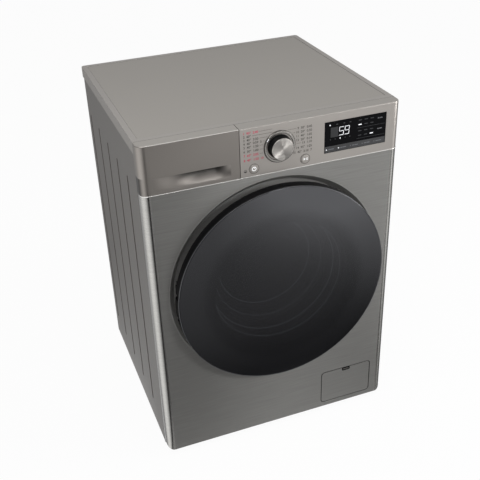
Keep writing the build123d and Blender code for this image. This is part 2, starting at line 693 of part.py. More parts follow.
def drawer_tray():
    """The drawer's box, in three compartments."""
    y0 = at(SEAM_DEPTH)
    y1 = y0 + TRAY_LENGTH
    top = TRAY_BOTTOM + TRAY_HEIGHT
    tray = block(TRAY_LEFT, TRAY_RIGHT, y0, y1, TRAY_BOTTOM, top)
    tray = fillet(tray.edges().filter_by(Axis.Z).group_by(Axis.Y)[-1], 10.0)
    for x0, x1, length in tray_cells():
        cell = block(x0, x1, y0 + TRAY_WALL + 10, y0 + length, TRAY_BOTTOM + TRAY_WALL, top + 1)
        tray -= fillet(cell.edges().filter_by(Axis.Z), 6.0)
    return tray


def tray_cells():
    """Left, right and rear edge of each compartment."""
    width = (TRAY_RIGHT - TRAY_LEFT - 4 * TRAY_WALL) / 3
    cells = []
    for i in range(3):
        x0 = TRAY_LEFT + TRAY_WALL + i * (width + TRAY_WALL)
        cells.append((x0, x0 + width, TRAY_LENGTH - TRAY_WALL))
    return cells


def siphon_cap():
    """The lift-out cap over the softener's compartment, with its siphon tube."""
    x0, x1, length = tray_cells()[-1]
    y1 = at(SEAM_DEPTH) + length - FIT
    top = TRAY_BOTTOM + TRAY_HEIGHT
    cap = block(x0 + FIT, x1 - FIT, y1 - 70, y1, top - 8, top - 5)
    cap = fillet(cap.edges().filter_by(Axis.Z), 6.0)
    cap += rod_z(7.0, (x0 + x1) / 2, y1 - 35, TRAY_BOTTOM + TRAY_WALL + FIT, top - 6)
    return cap - rod_z(5.0, (x0 + x1) / 2, y1 - 35, TRAY_BOTTOM, top - 10)


def dispenser_housing():
    """The housing that the drawer slides in, with its hose spigots."""
    grow = HOUSING_GAP + PLASTIC
    y0 = at(SEAM_DEPTH + 3)
    y1 = y0 + HOUSING_LENGTH
    floor = TRAY_BOTTOM - FIT
    top = TRAY_BOTTOM + TRAY_HEIGHT + HOUSING_GAP
    housing = block(TRAY_LEFT - grow, TRAY_RIGHT + grow, y0, y1, floor - PLASTIC, top + PLASTIC)
    housing -= block(
        TRAY_LEFT - HOUSING_GAP, TRAY_RIGHT + HOUSING_GAP, y0 - 1, y1 - PLASTIC, floor, top
    )
    x, y, z0, _ = dispenser_hose_ends()
    housing -= rod_z(15.0, x, y, floor - 9, floor + 1)
    for x in inlet_places():
        housing += tube_y(9.0, 6.0, x, INLET_Z, y1 - PLASTIC, y1 + 14)
        housing -= rod_y(6.0, x, INLET_Z, y1 - 9, y1 + 1)
    return housing


def dispenser_hose_ends():
    """X, Y, upper and lower end of the hose from the housing to the tub."""
    x = (TRAY_LEFT + TRAY_RIGHT) / 2
    y = at(SEAM_DEPTH + 3 + HOUSING_LENGTH - 26)
    upper = TRAY_BOTTOM - FIT - PLASTIC
    lower = AXIS_Z + sqrt(TUB_RADIUS**2 - x**2) + 26.0
    return x, y, upper, lower


def dispenser_hose():
    """The rubber bellows between the housing and the tub."""
    x, y, upper, lower = dispenser_hose_ends()
    rings = 4
    pitch = (upper - lower) / (2 * rings)
    outline = [(15.0, 0.0)]
    for i in range(2 * rings + 1):
        outline.append((24.0 if i % 2 else 19.0, i * pitch))
    outline.append((15.0, upper - lower))
    face = make_face(Polyline(*outline, close=True))
    bellows = Rot(90, 0, 0) * revolve(face, Axis.Y)
    return Pos(x, y, lower) * bellows


# Water inlet and drain

def inlet_places():
    """X of the cold and hot water inlets."""
    return (INLET_X - INLET_SPACING / 2, INLET_X + INLET_SPACING / 2)


def inlet_valve():
    """The twin valve, with threaded ends through the cabinet's back."""
    inner = Y_WALL - SHEET
    valve = block(
        INLET_X - INLET_SPACING / 2 - 20, INLET_X + INLET_SPACING / 2 + 20, inner - 34, inner,
        INLET_Z - 20, INLET_Z + 20,
    )
    valve = fillet(valve.edges().filter_by(Axis.Y), 8.0)
    for x in inlet_places():
        valve += rod_y(INLET_RADIUS - NECK, x, INLET_Z, inner - 1, Y_WALL + 1)
        valve += rod_y(INLET_RADIUS, x, INLET_Z, Y_WALL, Y_REAR + INLET_PROUD)
        valve -= rod_y(9.0, x, INLET_Z, inner + 4, Y_REAR + INLET_PROUD + 1)
        valve += rod_z(14.0, x, inner - 17, INLET_Z + 19, INLET_Z + 44)
        valve += rod_y(9.0, x, INLET_Z, inner - 50, inner - 33)
    return valve


def inlet_hoses():
    """Two straight hoses from the valve to the dispenser's housing."""
    y0 = at(SEAM_DEPTH + 3) + HOUSING_LENGTH + 14
    y1 = Y_WALL - SHEET - 50
    hoses = None
    for x in inlet_places():
        hose = tube_y(9.0, 6.0, x, INLET_Z, y0, y1)
        hoses = hose if hoses is None else hoses + hose
    return hoses


def pump_sizes():
    """Filter bore, chamber radius, chamber's front and back, motor's back."""
    bore = FILTER_RADIUS + FIT
    front = BAY_DEPTH
    back = front + PUMP_LENGTH
    return bore, bore + PUMP_WALL, front, back, back + PUMP_MOTOR_LENGTH


def drain_pump():
    """The pump: filter chamber, ports and motor, on two legs."""
    bore, radius, front, back, end = pump_sizes()
    pump = rod_y(radius, FLAP_X, FILTER_Z, at(front), at(back))
    pump += rod_y(radius - 4, FLAP_X, FILTER_Z, at(back - 1), at(end))
    inlet = sump_hose_end()
    pump += rod_x(SUMP_PORT, inlet[1], inlet[2], inlet[0], FLAP_X - 10)
    outlet = drain_hose_start()
    pump += rod_z(DRAIN_RADIUS, outlet[0], outlet[1], FILTER_Z, outlet[2])
    for depth in (front + 22, back - 12):
        pump += block(
            FLAP_X - 16, FLAP_X + 16, at(depth - 4), at(depth + 4), TRAY_FLOOR, FILTER_Z - bore
        )
    pump -= rod_y(bore, FLAP_X, FILTER_Z, at(front - 1), at(back - 14))
    pump -= rod_x(SUMP_PORT - 3, inlet[1], inlet[2], inlet[0] - 1, FLAP_X)
    pump -= rod_z(DRAIN_RADIUS - 3, outlet[0], outlet[1], FILTER_Z, outlet[2] + 1)
    return pump


def sump_floor():
    """Z of the sump's underside."""
    return AXIS_Z - TUB_RADIUS - SUMP_DROP


def sump_hose_start():
    """Where the hose leaves the side of the tub's sump."""
    return (SUMP_HALF_WIDTH + SUMP_SPIGOT, at(SUMP_Y), sump_floor() + SUMP_PORT + TUB_WALL)


def sump_hose_end():
    """The end of the pump's inlet port."""
    _, radius, front, _, _ = pump_sizes()
    return (FLAP_X - radius - 14, at(front + 52), FILTER_Z + 6)


def sump_hose():
    """The rubber hose from the sump down to the pump."""
    start = sump_hose_start()
    end = sump_hose_end()
    turn = end[0] - SUMP_BEND - 5.0
    points = [start, (start[0] + SUMP_RUN, start[1], start[2]), (turn, end[1], end[2]), end]
    return piped(points, SUMP_BEND, SUMP_PORT, SUMP_PORT - 3)


def drain_hose_start():
    """The end of the pump's outlet port."""
    _, radius, front, _, _ = pump_sizes()
    return (FLAP_X, at(front + 22), FILTER_Z + radius + 12)


def drain_hose():
    """The hose from the pump to the outlet at the back, held along the side."""
    start = drain_hose_start()
    side = INNER_HALF - RIB_DEPTH - FIT - DRAIN_RADIUS
    rise = start[2] + DRAIN_RISE
    rear = Y_WALL - SHEET - DRAIN_BACK
    points = [
        start, (start[0], start[1], rise), (side, start[1] + 40, rise), (side, rear, rise),
        (DRAIN_X + 90, rear, DRAIN_Z + 14), (DRAIN_X, rear, DRAIN_Z), (DRAIN_X, Y_WALL - SHEET - 6, DRAIN_Z),
    ]
    return piped(points, 22.0, DRAIN_RADIUS, DRAIN_RADIUS - 2.5)


def drain_outlet():
    """The spigot at the back that the drain hose is pushed on to."""
    inner = Y_WALL - SHEET
    spigot = tube_y(DRAIN_RADIUS + 6, DRAIN_RADIUS - 3, DRAIN_X, DRAIN_Z, inner - 6, inner)
    spigot += tube_y(DRAIN_RADIUS - NECK, DRAIN_RADIUS - 3, DRAIN_X, DRAIN_Z, inner - 1, Y_WALL + 1)
    return spigot + tube_y(DRAIN_RADIUS, DRAIN_RADIUS - 3, DRAIN_X, DRAIN_Z, Y_WALL, Y_REAR + INLET_PROUD - 2)


def cord_gland():
    """The bush that the mains lead would pass through."""
    inner = Y_WALL - SHEET
    gland = rod_y(GLAND_RADIUS, GLAND_X, GLAND_Z, inner, Y_REAR + 1)
    gland += rod_y(GLAND_RADIUS + 4, GLAND_X, GLAND_Z, inner - 4, inner)
    gland += rod_y(GLAND_RADIUS + 3, GLAND_X, GLAND_Z, Y_WALL, Y_REAR + 6)
    return gland - rod_y(4.0, GLAND_X, GLAND_Z, inner - 9, Y_REAR + 9)


def filter_bay():
    """The moulded pocket behind the flap, with ears for the flap's pins."""
    grow = 3.0
    x0 = FLAP_LEFT - grow
    x1 = FLAP_RIGHT + grow
    z0 = FLAP_BOTTOM - grow
    z1 = FLAP_TOP + grow
    front = at(SHEET)
    back = at(BAY_DEPTH)
    wall = 2.0
    bay = block(x0 - wall, x1 + wall, front, back, z0 - wall, z1 + wall)
    bay -= block(x0, x1, front - 1, back - wall, z0, z1)
    bay -= rod_y(FILTER_RADIUS + FIT, FLAP_X, FILTER_Z, back - wall - 1, back + 1)
    y, z = flap_axis()
    bay -= rod_x(FLAP_PIN + RUN, y, z, x0 - wall - 1, x1 + wall + 1)
    return bay


def flap_axis():
    """Y and Z of the flap's hinge."""
    return at(SHEET + FIT + FLAP_PIN), FLAP_BOTTOM + FLAP_PIN_RISE


def filter_flap():
    """The hatch over the pump's filter, hinged at its lower edge."""
    flap = front_outline(
        FLAP_LEFT, FLAP_RIGHT, FLAP_BOTTOM, FLAP_TOP, FLAP_RADIUS, at(0), at(FLAP_THICK)
    )
    slot = front_outline(
        FLAP_X - SLOT_WIDTH / 2, FLAP_X + SLOT_WIDTH / 2, FLAP_TOP - SLOT_HEIGHT, FLAP_TOP + 4, 3.0,
        at(-1), at(FLAP_THICK - 1),
    )
    flap -= slot
    y, z = flap_axis()
    pins = rod_x(FLAP_PIN, y, z, FLAP_LEFT - 4.6, FLAP_LEFT + 16)
    pins += block(FLAP_LEFT + 2, FLAP_LEFT + 16, at(FLAP_THICK - 0.5), y + FLAP_PIN, z - FLAP_PIN, z + FLAP_PIN)
    far = rod_x(FLAP_PIN, y, z, FLAP_RIGHT - 16, FLAP_RIGHT + 4.6)
    far += block(FLAP_RIGHT - 16, FLAP_RIGHT - 2, at(FLAP_THICK - 0.5), y + FLAP_PIN, z - FLAP_PIN, z + FLAP_PIN)
    return flap + pins + far


def drain_filter():
    """The screw-out filter: a grip, a sealing disc and a slotted basket."""
    _, _, front, back, _ = pump_sizes()
    head = rod_y(FILTER_HEAD_RADIUS, FLAP_X, FILTER_Z, at(front - 10), at(front - 2 - FIT))
    head = chamfer(head.edges().sort_by(Axis.Y)[0], 2.0)
    head += block(FLAP_X - 24, FLAP_X + 24, at(front - 20), at(front - 9), FILTER_Z - 4, FILTER_Z + 4)
    head += rod_y(FILTER_RADIUS, FLAP_X, FILTER_Z, at(front - 3), at(front + 16))
    basket = tube_y(FILTER_RADIUS - 4, FILTER_RADIUS - 7, FLAP_X, FILTER_Z, at(front + 15), at(back - 24))
    for angle in range(0, 180, 60):
        slot = Pos(FLAP_X, at((front + 24 + back - 24) / 2), FILTER_Z) * Rot(0, angle, 0)
        basket -= slot * Box(4 * FILTER_RADIUS, back - front - 60, 12.0)
    return head + basket


# Door

def door_frame():
    """The door's ring: a channel with a block for the hinge."""
    wall = FRAME_WALL
    front = -(DOOR_RIM_PROUD - COVER_THICK)
    inner = FRAME_INNER_RADIUS
    bore = inner - FRAME_LEDGE
    ledge = -BOWL_FLANGE - wall
    frame = turned(
        (bore, front), (DOOR_RADIUS - 2.0, front), (DOOR_RADIUS, front + 4.0),
        (DOOR_RADIUS, -FRAME_TAPER_DEPTH), (FRAME_BACK_RADIUS, 0), (FRAME_BACK_RADIUS - wall, 0),
        (DOOR_RADIUS - wall, -FRAME_TAPER_DEPTH - 1.5), (DOOR_RADIUS - wall, front + wall), (bore + wall, front + wall),
        (bore + wall, ledge), (inner + wall, ledge), (inner + wall, 0), (inner, 0),
        (inner, -BOWL_FLANGE), (bore, -BOWL_FLANGE),
    )
    hinge = turned(
        (inner + wall - 0.5, front + 1), (DOOR_RADIUS - 1.0, front + 1),
        (DOOR_RADIUS - 1.0, -FRAME_TAPER_DEPTH - 0.5), (FRAME_BACK_RADIUS - 1.0, 0), (inner + wall - 0.5, 0),
    )
    hinge &= block(-HALF, HINGE_X + 34, at(front), at(0), AXIS_Z - ARM_SPREAD - 22, AXIS_Z + ARM_SPREAD + 22)
    frame += hinge
    y = at(-HINGE_PROUD)
    for sign in (-1, 1):
        z = AXIS_Z + sign * ARM_SPREAD
        room = ARM_THICK / 2 + 1.0
        frame -= block(-HALF, HINGE_X + 8.5, y - 16, at(1), z - room, z + room)
    frame -= rod_z(PIN_RADIUS + RUN, HINGE_X, y, AXIS_Z - ARM_SPREAD - 14, AXIS_Z + ARM_SPREAD + 14)
    return frame


def dome(radius, rise, crown):
    """A ball whose cap has this radius and rise, with its crown at this depth."""
    ball = (radius**2 + rise**2) / (2 * rise)
    return Pos(0, at(crown) + ball, AXIS_Z) * Sphere(ball)


def door_cover():
    """The smoked, slightly domed outer cover."""
    radius = DOOR_RADIUS - 1.0
    back = -DOOR_RIM_PROUD + COVER_THICK
    disc = rod_y(radius, 0, AXIS_Z, at(-DOOR_PROUD), at(back))
    hollow = dome(radius - COVER_SEAT, DOOR_CROWN - 1.0, back - DOOR_CROWN + 1.0)
    return (disc & dome(radius, DOOR_CROWN, -DOOR_PROUD)) - hollow


def door_bowl():
    """The glass bowl that reaches into the drum's mouth."""
    wall = BOWL_WALL
    outer = [
        (FRAME_INNER_RADIUS - FIT, -BOWL_FLANGE), (FRAME_INNER_RADIUS - FIT, 0), (BOWL_RADIUS, 0),
        (BOWL_RADIUS - 4.0, 24.0), (BOWL_END_RADIUS, BOWL_DEPTH), (BOWL_END_RADIUS * 0.55, BOWL_TIP - 2.0),
        (0, BOWL_TIP),
    ]
    inner = [
        (0, BOWL_TIP - wall), (BOWL_END_RADIUS * 0.55 - 1, BOWL_TIP - 2.0 - wall),
        (BOWL_END_RADIUS - wall, BOWL_DEPTH - wall), (BOWL_RADIUS - 4.0 - wall, 24.0 - 1.5),
        (BOWL_RADIUS - wall, -BOWL_FLANGE),
    ]
    return turned(*outer, *inner)


def door_retainer():
    """The ring at the door's back that clamps the bowl."""
    edge = BOWL_RADIUS + 1.0
    ring = turned(
        (edge, 0), (FRAME_BACK_RADIUS - 0.5, 0), (FRAME_BACK_RADIUS - 4.0, RETAINER_THICK), (edge + 9, RETAINER_THICK),
        (edge + 6, RETAINER_THICK + 3), (edge, RETAINER_THICK + 3),
    )
    for sign in (-1, 1):
        z = AXIS_Z + sign * ARM_SPREAD
        room = ARM_THICK / 2 + 1.0
        ring -= block(-HALF, HINGE_X + 8.5, at(-1), at(20), z - room, z + room)
    return ring


def door_hook():
    """The latch hook on the door's free side."""
    seat = at(RETAINER_THICK)
    base = block(HOOK_X - 14, HOOK_X + 14, seat, seat + 3, AXIS_Z - 20, AXIS_Z + 20)
    base = fillet(base.edges().filter_by(Axis.Y), 5.0)
    shank = block(HOOK_X - 5, HOOK_X + 5, seat + 2, at(HOOK_REACH), AXIS_Z - 8, AXIS_Z + 8)
    catch = block(HOOK_X - 5, HOOK_X + 5, at(HOOK_REACH - 9), at(HOOK_REACH), AXIS_Z + 7, AXIS_Z + 12)
    return base + chamfer((shank + catch).edges().sort_by(Axis.Y)[-1], 2.0)


def door_hinge():
    """The hinge bracket on the front panel: two arms out to the pin that is pressed in them."""
    y_pin = at(-HINGE_PROUD)
    floor = at(DISH_DEPTH)
    reach = ARM_SPREAD + 14
    plate = block(HINGE_X - 2, HINGE_X + 32, floor - 3, floor, AXIS_Z - reach, AXIS_Z + reach)
    hinge = plate
    for sign in (-1, 1):
        z = AXIS_Z + sign * ARM_SPREAD
        half = ARM_THICK / 2
        hinge += block(HINGE_X - ARM_WIDTH / 2, HINGE_X + ARM_WIDTH / 2, y_pin, floor - 1, z - half, z + half)
        hinge += rod_z(ARM_WIDTH / 2, HINGE_X, y_pin, z - half, z + half)
    pin = ARM_SPREAD + 13
    return hinge + rod_z(PIN_RADIUS, HINGE_X, y_pin, AXIS_Z - pin, AXIS_Z + pin)


def door_lock():
    """The lock behind the front panel, with a mouth for the hook."""
    back = at(DISH_DEPTH + SHEET)
    lock = block(HOOK_X - 16, HOOK_X + 18, back, back + 32, AXIS_Z - 42, AXIS_Z + 42)
    return lock - block(HOOK_X - 9, HOOK_X + 11, back - 1, back + 26, AXIS_Z - 14, AXIS_Z + 14)


def gasket():
    """The rubber bellows between the front panel's mouth and the tub."""
    lip_end = DISH_DEPTH + LIP_LENGTH
    bead = MOUTH_RADIUS + SHEET + FIT + GASKET_WALL / 2
    rear = TUB_LIP_RADIUS + FIT + GASKET_WALL / 2
    line = Polyline(
        (bead, at(DISH_DEPTH + 4)), (bead, at(lip_end + 3)), (bead - 8, at(lip_end + 8)),
        (bead - 8, at(lip_end + 22)), (bead + GASKET_FOLD, at(lip_end + 28)),
        (bead + GASKET_FOLD, at(lip_end + 44)),
        (rear, at(TUB_FRONT - 20)), (rear, at(TUB_FRONT - 1)),
    )
    seal = Polyline((bead - 8, at(lip_end + 8)), (bead - 22, at(lip_end + 5)))
    profile = trace(line, GASKET_WALL) + trace(seal, GASKET_WALL)
    return Pos(0, 0, AXIS_Z) * revolve(profile, Axis.Y)


# Drum

def drum_shell():
    """The drum's wall and front ring, rolled from one sheet."""
    t = DRUM_SHEET
    front = DRUM_FRONT
    s = DRUM_SHOULDER
    return turned(
        (DRUM_MOUTH_RADIUS, front), (DRUM_RADIUS - s, front), (DRUM_RADIUS, front + s),
        (DRUM_RADIUS, DRUM_BACK), (DRUM_RADIUS - t, DRUM_BACK), (DRUM_RADIUS - t, front + s + 0.4),
        (DRUM_RADIUS - s - 0.4, front + t), (DRUM_MOUTH_RADIUS + t, front + t),
        (DRUM_MOUTH_RADIUS + t, front + 12), (DRUM_MOUTH_RADIUS, front + 12),
    )


def drum_back():
    """The drum's back, dished for stiffness."""
    edge = DRUM_RADIUS - DRUM_SHEET
    back = DRUM_BACK
    t = DRUM_SHEET + 0.5
    return turned(
        (0, back - 12), (60, back - 12), (80, back - 4), (edge - 40, back - 4), (edge - 30, back - t),
        (edge, back - t), (edge, back), (edge - 31, back), (edge - 41, back - 4 + t), (79, back - 4 + t),
        (59, back - 12 + t), (0, back - 12 + t),
    )


def lifter_angles():
    """Angles of the lifters about the axis, from straight up."""
    return [i * 360.0 / LIFTER_COUNT for i in range(LIFTER_COUNT)]


def drum_lifters():
    """The paddles that tumble the load."""
    inner = DRUM_RADIUS - DRUM_SHEET
    middle = DRUM_FRONT + DRUM_SHOULDER + (DRUM_LENGTH - DRUM_SHOULDER) / 2
    seat = sqrt(inner**2 - (LIFTER_BASE / 2) ** 2) - FIT
    sections = []
    for height, base, length in ((0.0, LIFTER_BASE, LIFTER_LENGTH), (LIFTER_HEIGHT, LIFTER_CREST, LIFTER_LENGTH - 60)):
        plane = Plane(origin=(0, at(middle), seat - height), x_dir=(1, 0, 0), z_dir=(0, 0, -1))
        sections.append(plane * RectangleRounded(base, length, min(base, length) * 0.3))
    paddle = loft(sections)
    lifters = None
    for angle in lifter_angles():
        one = Pos(0, 0, AXIS_Z) * Rot(0, angle, 0) * paddle
        lifters = one if lifters is None else lifters + one
    return lifters


def drum_spider():
    """The three-armed casting behind the drum, with the shaft pressed in it."""
    back = DRUM_BACK
    hub = turned((SHAFT_RADIUS, back + 2), (46, back + 2), (36, back + 20), (SHAFT_RADIUS, back + 20))
    arm = block(-17, 17, at(back), at(back + 11), AXIS_Z + 30, AXIS_Z + DRUM_RADIUS - 8)
    spider = hub
    for angle in lifter_angles():
        turn = Pos(0, 0, AXIS_Z) * Rot(0, angle, 0) * Pos(0, 0, -AXIS_Z)
        spider += turn * arm
    shaft = rod_y(SHAFT_RADIUS, 0, AXIS_Z, at(back + 2), at(rotor_face()))
    return spider + shaft


def hub_depths():
    """Front and rear end of the tub's bearing hub."""
    return TUB_BACK - 8.0, TUB_BACK + 28.0


def bearings():
    """The two bearings of the shaft, as closed rings."""
    front, rear = hub_depths()
    rings = None
    for depth in (front, rear - BEARING_WIDTH):
        ring = tube_y(BEARING_OUTER, SHAFT_RADIUS + RUN, 0, AXIS_Z, at(depth), at(depth + BEARING_WIDTH))
        rings = ring if rings is None else rings + ring
    return rings


def rotor_face():
    """Depth of the rotor's disc, behind the hub."""
    return hub_depths()[1] + 4.0


def rotor():
    """The outer rotor: a cup of magnets on the shaft's end, with its bolt."""
    face = rotor_face()
    bore = SHAFT_RADIUS + RUN
    r = ROTOR_RADIUS
    w = ROTOR_WALL
    cup = turned(
        (bore, face), (r, face), (r, face - ROTOR_HEIGHT), (r - w - 4, face - ROTOR_HEIGHT),
        (r - w - 4, face - w), (48, face - w), (44, face - 3.5), (bore, face - 3.5),
    )
    for i in range(12):
        slot = Pos(0, 0, AXIS_Z) * Rot(0, i * 30.0, 0) * Pos(0, at(face), 88) * Box(10, 20, 46)
        cup -= slot
    cup += rod_y(26, 0, AXIS_Z, at(face), at(face + 3))
    return cup + Pos(0, at(face + 2), AXIS_Z) * Rot(-90, 0, 0) * extrude(RegularPolygon(15, 6), 9)


def tub_rear():
    """The tub's rear half: hub, ribs, sump and spring lugs."""
    back = TUB_BACK
    front_hub, rear_hub = hub_depths()
    r = TUB_RADIUS
    w = TUB_WALL
    tub = turned(
        (r - w, TUB_SPLIT), (r + TUB_FLANGE, TUB_SPLIT), (r + TUB_FLANGE, TUB_SPLIT + 6), (r, TUB_SPLIT + 6),
        (r, back), (BEARING_OUTER + HUB_WALL, back), (BEARING_OUTER + HUB_WALL, rear_hub),
        (BEARING_OUTER, rear_hub), (BEARING_OUTER, front_hub), (BEARING_OUTER + HUB_WALL, front_hub),
        (BEARING_OUTER + HUB_WALL, back - w), (r - w, back - w),
    )
    floor = sump_floor()
    y0 = at(TUB_SPLIT + 12)
    y1 = at(back - 20)
    well = block(-SUMP_HALF_WIDTH, SUMP_HALF_WIDTH, y0, y1, floor, AXIS_Z - r + 14)
    well -= turned((0, TUB_SPLIT), (r - 1, TUB_SPLIT), (r - 1, back), (0, back))
    tub += well
    tub -= block(
        -SUMP_HALF_WIDTH + w, SUMP_HALF_WIDTH - w, y0 + w, y1 - w, floor + w, AXIS_Z - r + 10
    )
    port = sump_hose_start()
    tub += rod_x(SUMP_PORT, port[1], port[2], SUMP_HALF_WIDTH - 1, port[0])
    tub -= rod_x(SUMP_PORT - 3, port[1], port[2], SUMP_HALF_WIDTH - w - 1, port[0] + 1)
    for sign in (-1, 1):
        tub += spring_lug(sign)
    return tub + dispenser_spigot()


def spring_lug(sign):
    """The lug on the tub's side that a spring's lower end hooks on to."""
    z = SPRING_TOP - SPRING_LENGTH
    reach = block(TUB_RADIUS / 2, SPRING_X + 12, at(SPRING_Y) - 9, at(SPRING_Y) + 9, z - 16, z - FIT)
    reach -= Pos(0, 0, AXIS_Z) * Pos(0, at(SPRING_Y), 0) * Rot(90, 0, 0) * Cylinder(TUB_RADIUS - 1, 60)
    return reach if sign > 0 else mirror(reach, Plane.YZ)


def tub_front():
    """The tub's front half, with the lip that the gasket grips."""
    r = TUB_RADIUS
    w = TUB_WALL
    lip = TUB_LIP_RADIUS
    front = TUB_FRONT
    tub = turned(
        (lip - w, front - 16), (lip, front - 16), (lip, front), (r, front), (r, TUB_SPLIT - 6),
        (r + TUB_FLANGE, TUB_SPLIT - 6), (r + TUB_FLANGE, TUB_SPLIT), (r - w, TUB_SPLIT),
        (r - w, front + w), (lip - w, front + w),
    )
    for sign in (-1, 1):
        tub += damper_lug(sign)
    return tub


def damper_lug(sign):
    """The lug under the tub that a damper's upper end is pinned to."""
    x = sign * DAMPER_X
    top = AXIS_Z - sqrt(TUB_RADIUS**2 - DAMPER_X**2)
    lug = block(x - 12, x + 12, at(DAMPER_Y) - 10, at(DAMPER_Y) + 10, damper_top(), top + 26)
    return lug - Pos(0, at(DAMPER_Y), AXIS_Z) * Rot(90, 0, 0) * Cylinder(TUB_RADIUS - 1, 80)


def damper_top():
    """Z of the dampers' upper ends."""
    return AXIS_Z - sqrt(TUB_RADIUS**2 - (DAMPER_X - 12) ** 2) - 12


def dispenser_spigot():
    """The spigot on the tub that the dispenser's hose is pushed over."""
    x, y, _, lower = dispenser_hose_ends()
    bottom = AXIS_Z + sqrt(TUB_RADIUS**2 - x**2) - 20
    pipe = rod_z(19.0, x, y, bottom, lower) - rod_z(14.0, x, y, bottom - 1, lower + 1)
    return pipe - Pos(0, y, AXIS_Z) * Rot(90, 0, 0) * Cylinder(TUB_RADIUS, 90)


def counterweight(sign):
    """A cast-iron crescent on the tub's front, above or below the door's mouth."""
    inner = GASKET_OUTER + WEIGHT_GAP
    ring = turned(
        (inner, TUB_FRONT - WEIGHT_THICK), (TUB_RADIUS - 4, TUB_FRONT - WEIGHT_THICK),
        (TUB_RADIUS - 2, TUB_FRONT), (inner, TUB_FRONT),
    )
    span = block(-HALF, HALF, at(0), at(TUB_FRONT), AXIS_Z + WEIGHT_CUT, AXIS_Z + HALF)
    if sign < 0:
        span = block(-HALF, HALF, at(0), at(TUB_FRONT), AXIS_Z - HALF, AXIS_Z - WEIGHT_CUT)
    return ring & span


def stator():
    """The stator's ring of wound teeth on the tub's back."""
    face = TUB_BACK
    depth = rotor_face() - ROTOR_WALL - 6.0
    ring = turned((STATOR_INNER, face), (STATOR_INNER + 14, face), (STATOR_INNER + 14, depth), (STATOR_INNER, depth))
    tooth = block(-5.5, 5.5, at(face + 3), at(depth - 1), AXIS_Z + STATOR_INNER + 13, AXIS_Z + STATOR_RADIUS)
    for i in range(STATOR_TEETH):
        turn = Pos(0, 0, AXIS_Z) * Rot(0, i * 360.0 / STATOR_TEETH, 0) * Pos(0, 0, -AXIS_Z)
        ring += turn * tooth
    return ring


def heater():
    """The heating element in the sump, a hairpin with its terminal block."""
    z = sump_floor() + TUB_WALL + HEATER_RADIUS + 8
    y0 = at(TUB_SPLIT + 12 + TUB_WALL + 24)
    y1 = at(TUB_BACK - 20 - TUB_WALL)
    x = 20.0
    points = [(-x, y1, z), (-x, y0, z), (x, y0, z), (x, y1, z)]
    element = piped(points, x * 0.9, HEATER_RADIUS)
    return element + block(-30, 30, y1 - 8, y1, z - 10, z + 10)


# Suspension

def spring_hangers():
    """The brackets on the side walls that the springs hang from."""
    arm = block(
        SPRING_X - 14, INNER_HALF, at(SPRING_Y) - 14, at(SPRING_Y) + 14, SPRING_TOP + FIT, SPRING_TOP + FIT + 4
    )
    arm += block(INNER_HALF - 3, INNER_HALF, at(SPRING_Y) - 14, at(SPRING_Y) + 14, SPRING_TOP - 40, SPRING_TOP + FIT + 4)
    return mirrored(arm)


def springs():
    """The two coil springs that carry the tub."""
    height = SPRING_LENGTH - 2 * SPRING_WIRE
    path = Helix(height / SPRING_TURNS, height, SPRING_RADIUS)
    start = Plane(origin=path @ 0, z_dir=path % 0)
    coil = sweep(start * Circle(SPRING_WIRE), path=path)
    low = SPRING_TOP - SPRING_LENGTH + SPRING_WIRE
    one = Pos(SPRING_X, at(SPRING_Y), low) * coil
    return one + mirror(one, Plane.YZ)


def damper_cylinders():
    """The dampers' cylinders, pinned to the tub."""
    top = damper_top()
    bottom = top - DAMPER_LENGTH
    one = rod_z(DAMPER_RADIUS, DAMPER_X, at(DAMPER_Y), bottom, top - 8)
    one += block(DAMPER_X - 9, DAMPER_X + 9, at(DAMPER_Y) - 8, at(DAMPER_Y) + 8, top - 9, top)
    one -= rod_z(DAMPER_ROD_RADIUS + FIT, DAMPER_X, at(DAMPER_Y), bottom - 1, top - 16)
    return one + mirror(one, Plane.YZ)


def damper_rods():
    """The dampers' rods, pinned to the base."""
    foot_z = TRAY_FLOOR + 12
    top = damper_top() - 16 - TUB_TRAVEL - 6
    one = rod_z(DAMPER_ROD_RADIUS, DAMPER_X, at(DAMPER_Y), foot_z + 8, top)
    one += block(DAMPER_X - 9, DAMPER_X + 9, at(DAMPER_Y) - 8, at(DAMPER_Y) + 8, foot_z, foot_z + 12)
    return one + mirror(one, Plane.YZ)


def main_board():
    """The power board in its box, on the right-hand wall."""
    x1 = INNER_HALF - RIB_DEPTH - FIT
    box = block(
        x1 - POWER_BOX_WIDTH, x1, at(POWER_BOX_FRONT), at(POWER_BOX_FRONT + POWER_BOX_LENGTH),
        CAB_TOP - POWER_BOX_DROP - POWER_BOX_HEIGHT, CAB_TOP - POWER_BOX_DROP,
    )
    return fillet(box.edges().filter_by(Axis.Y), 4.0)


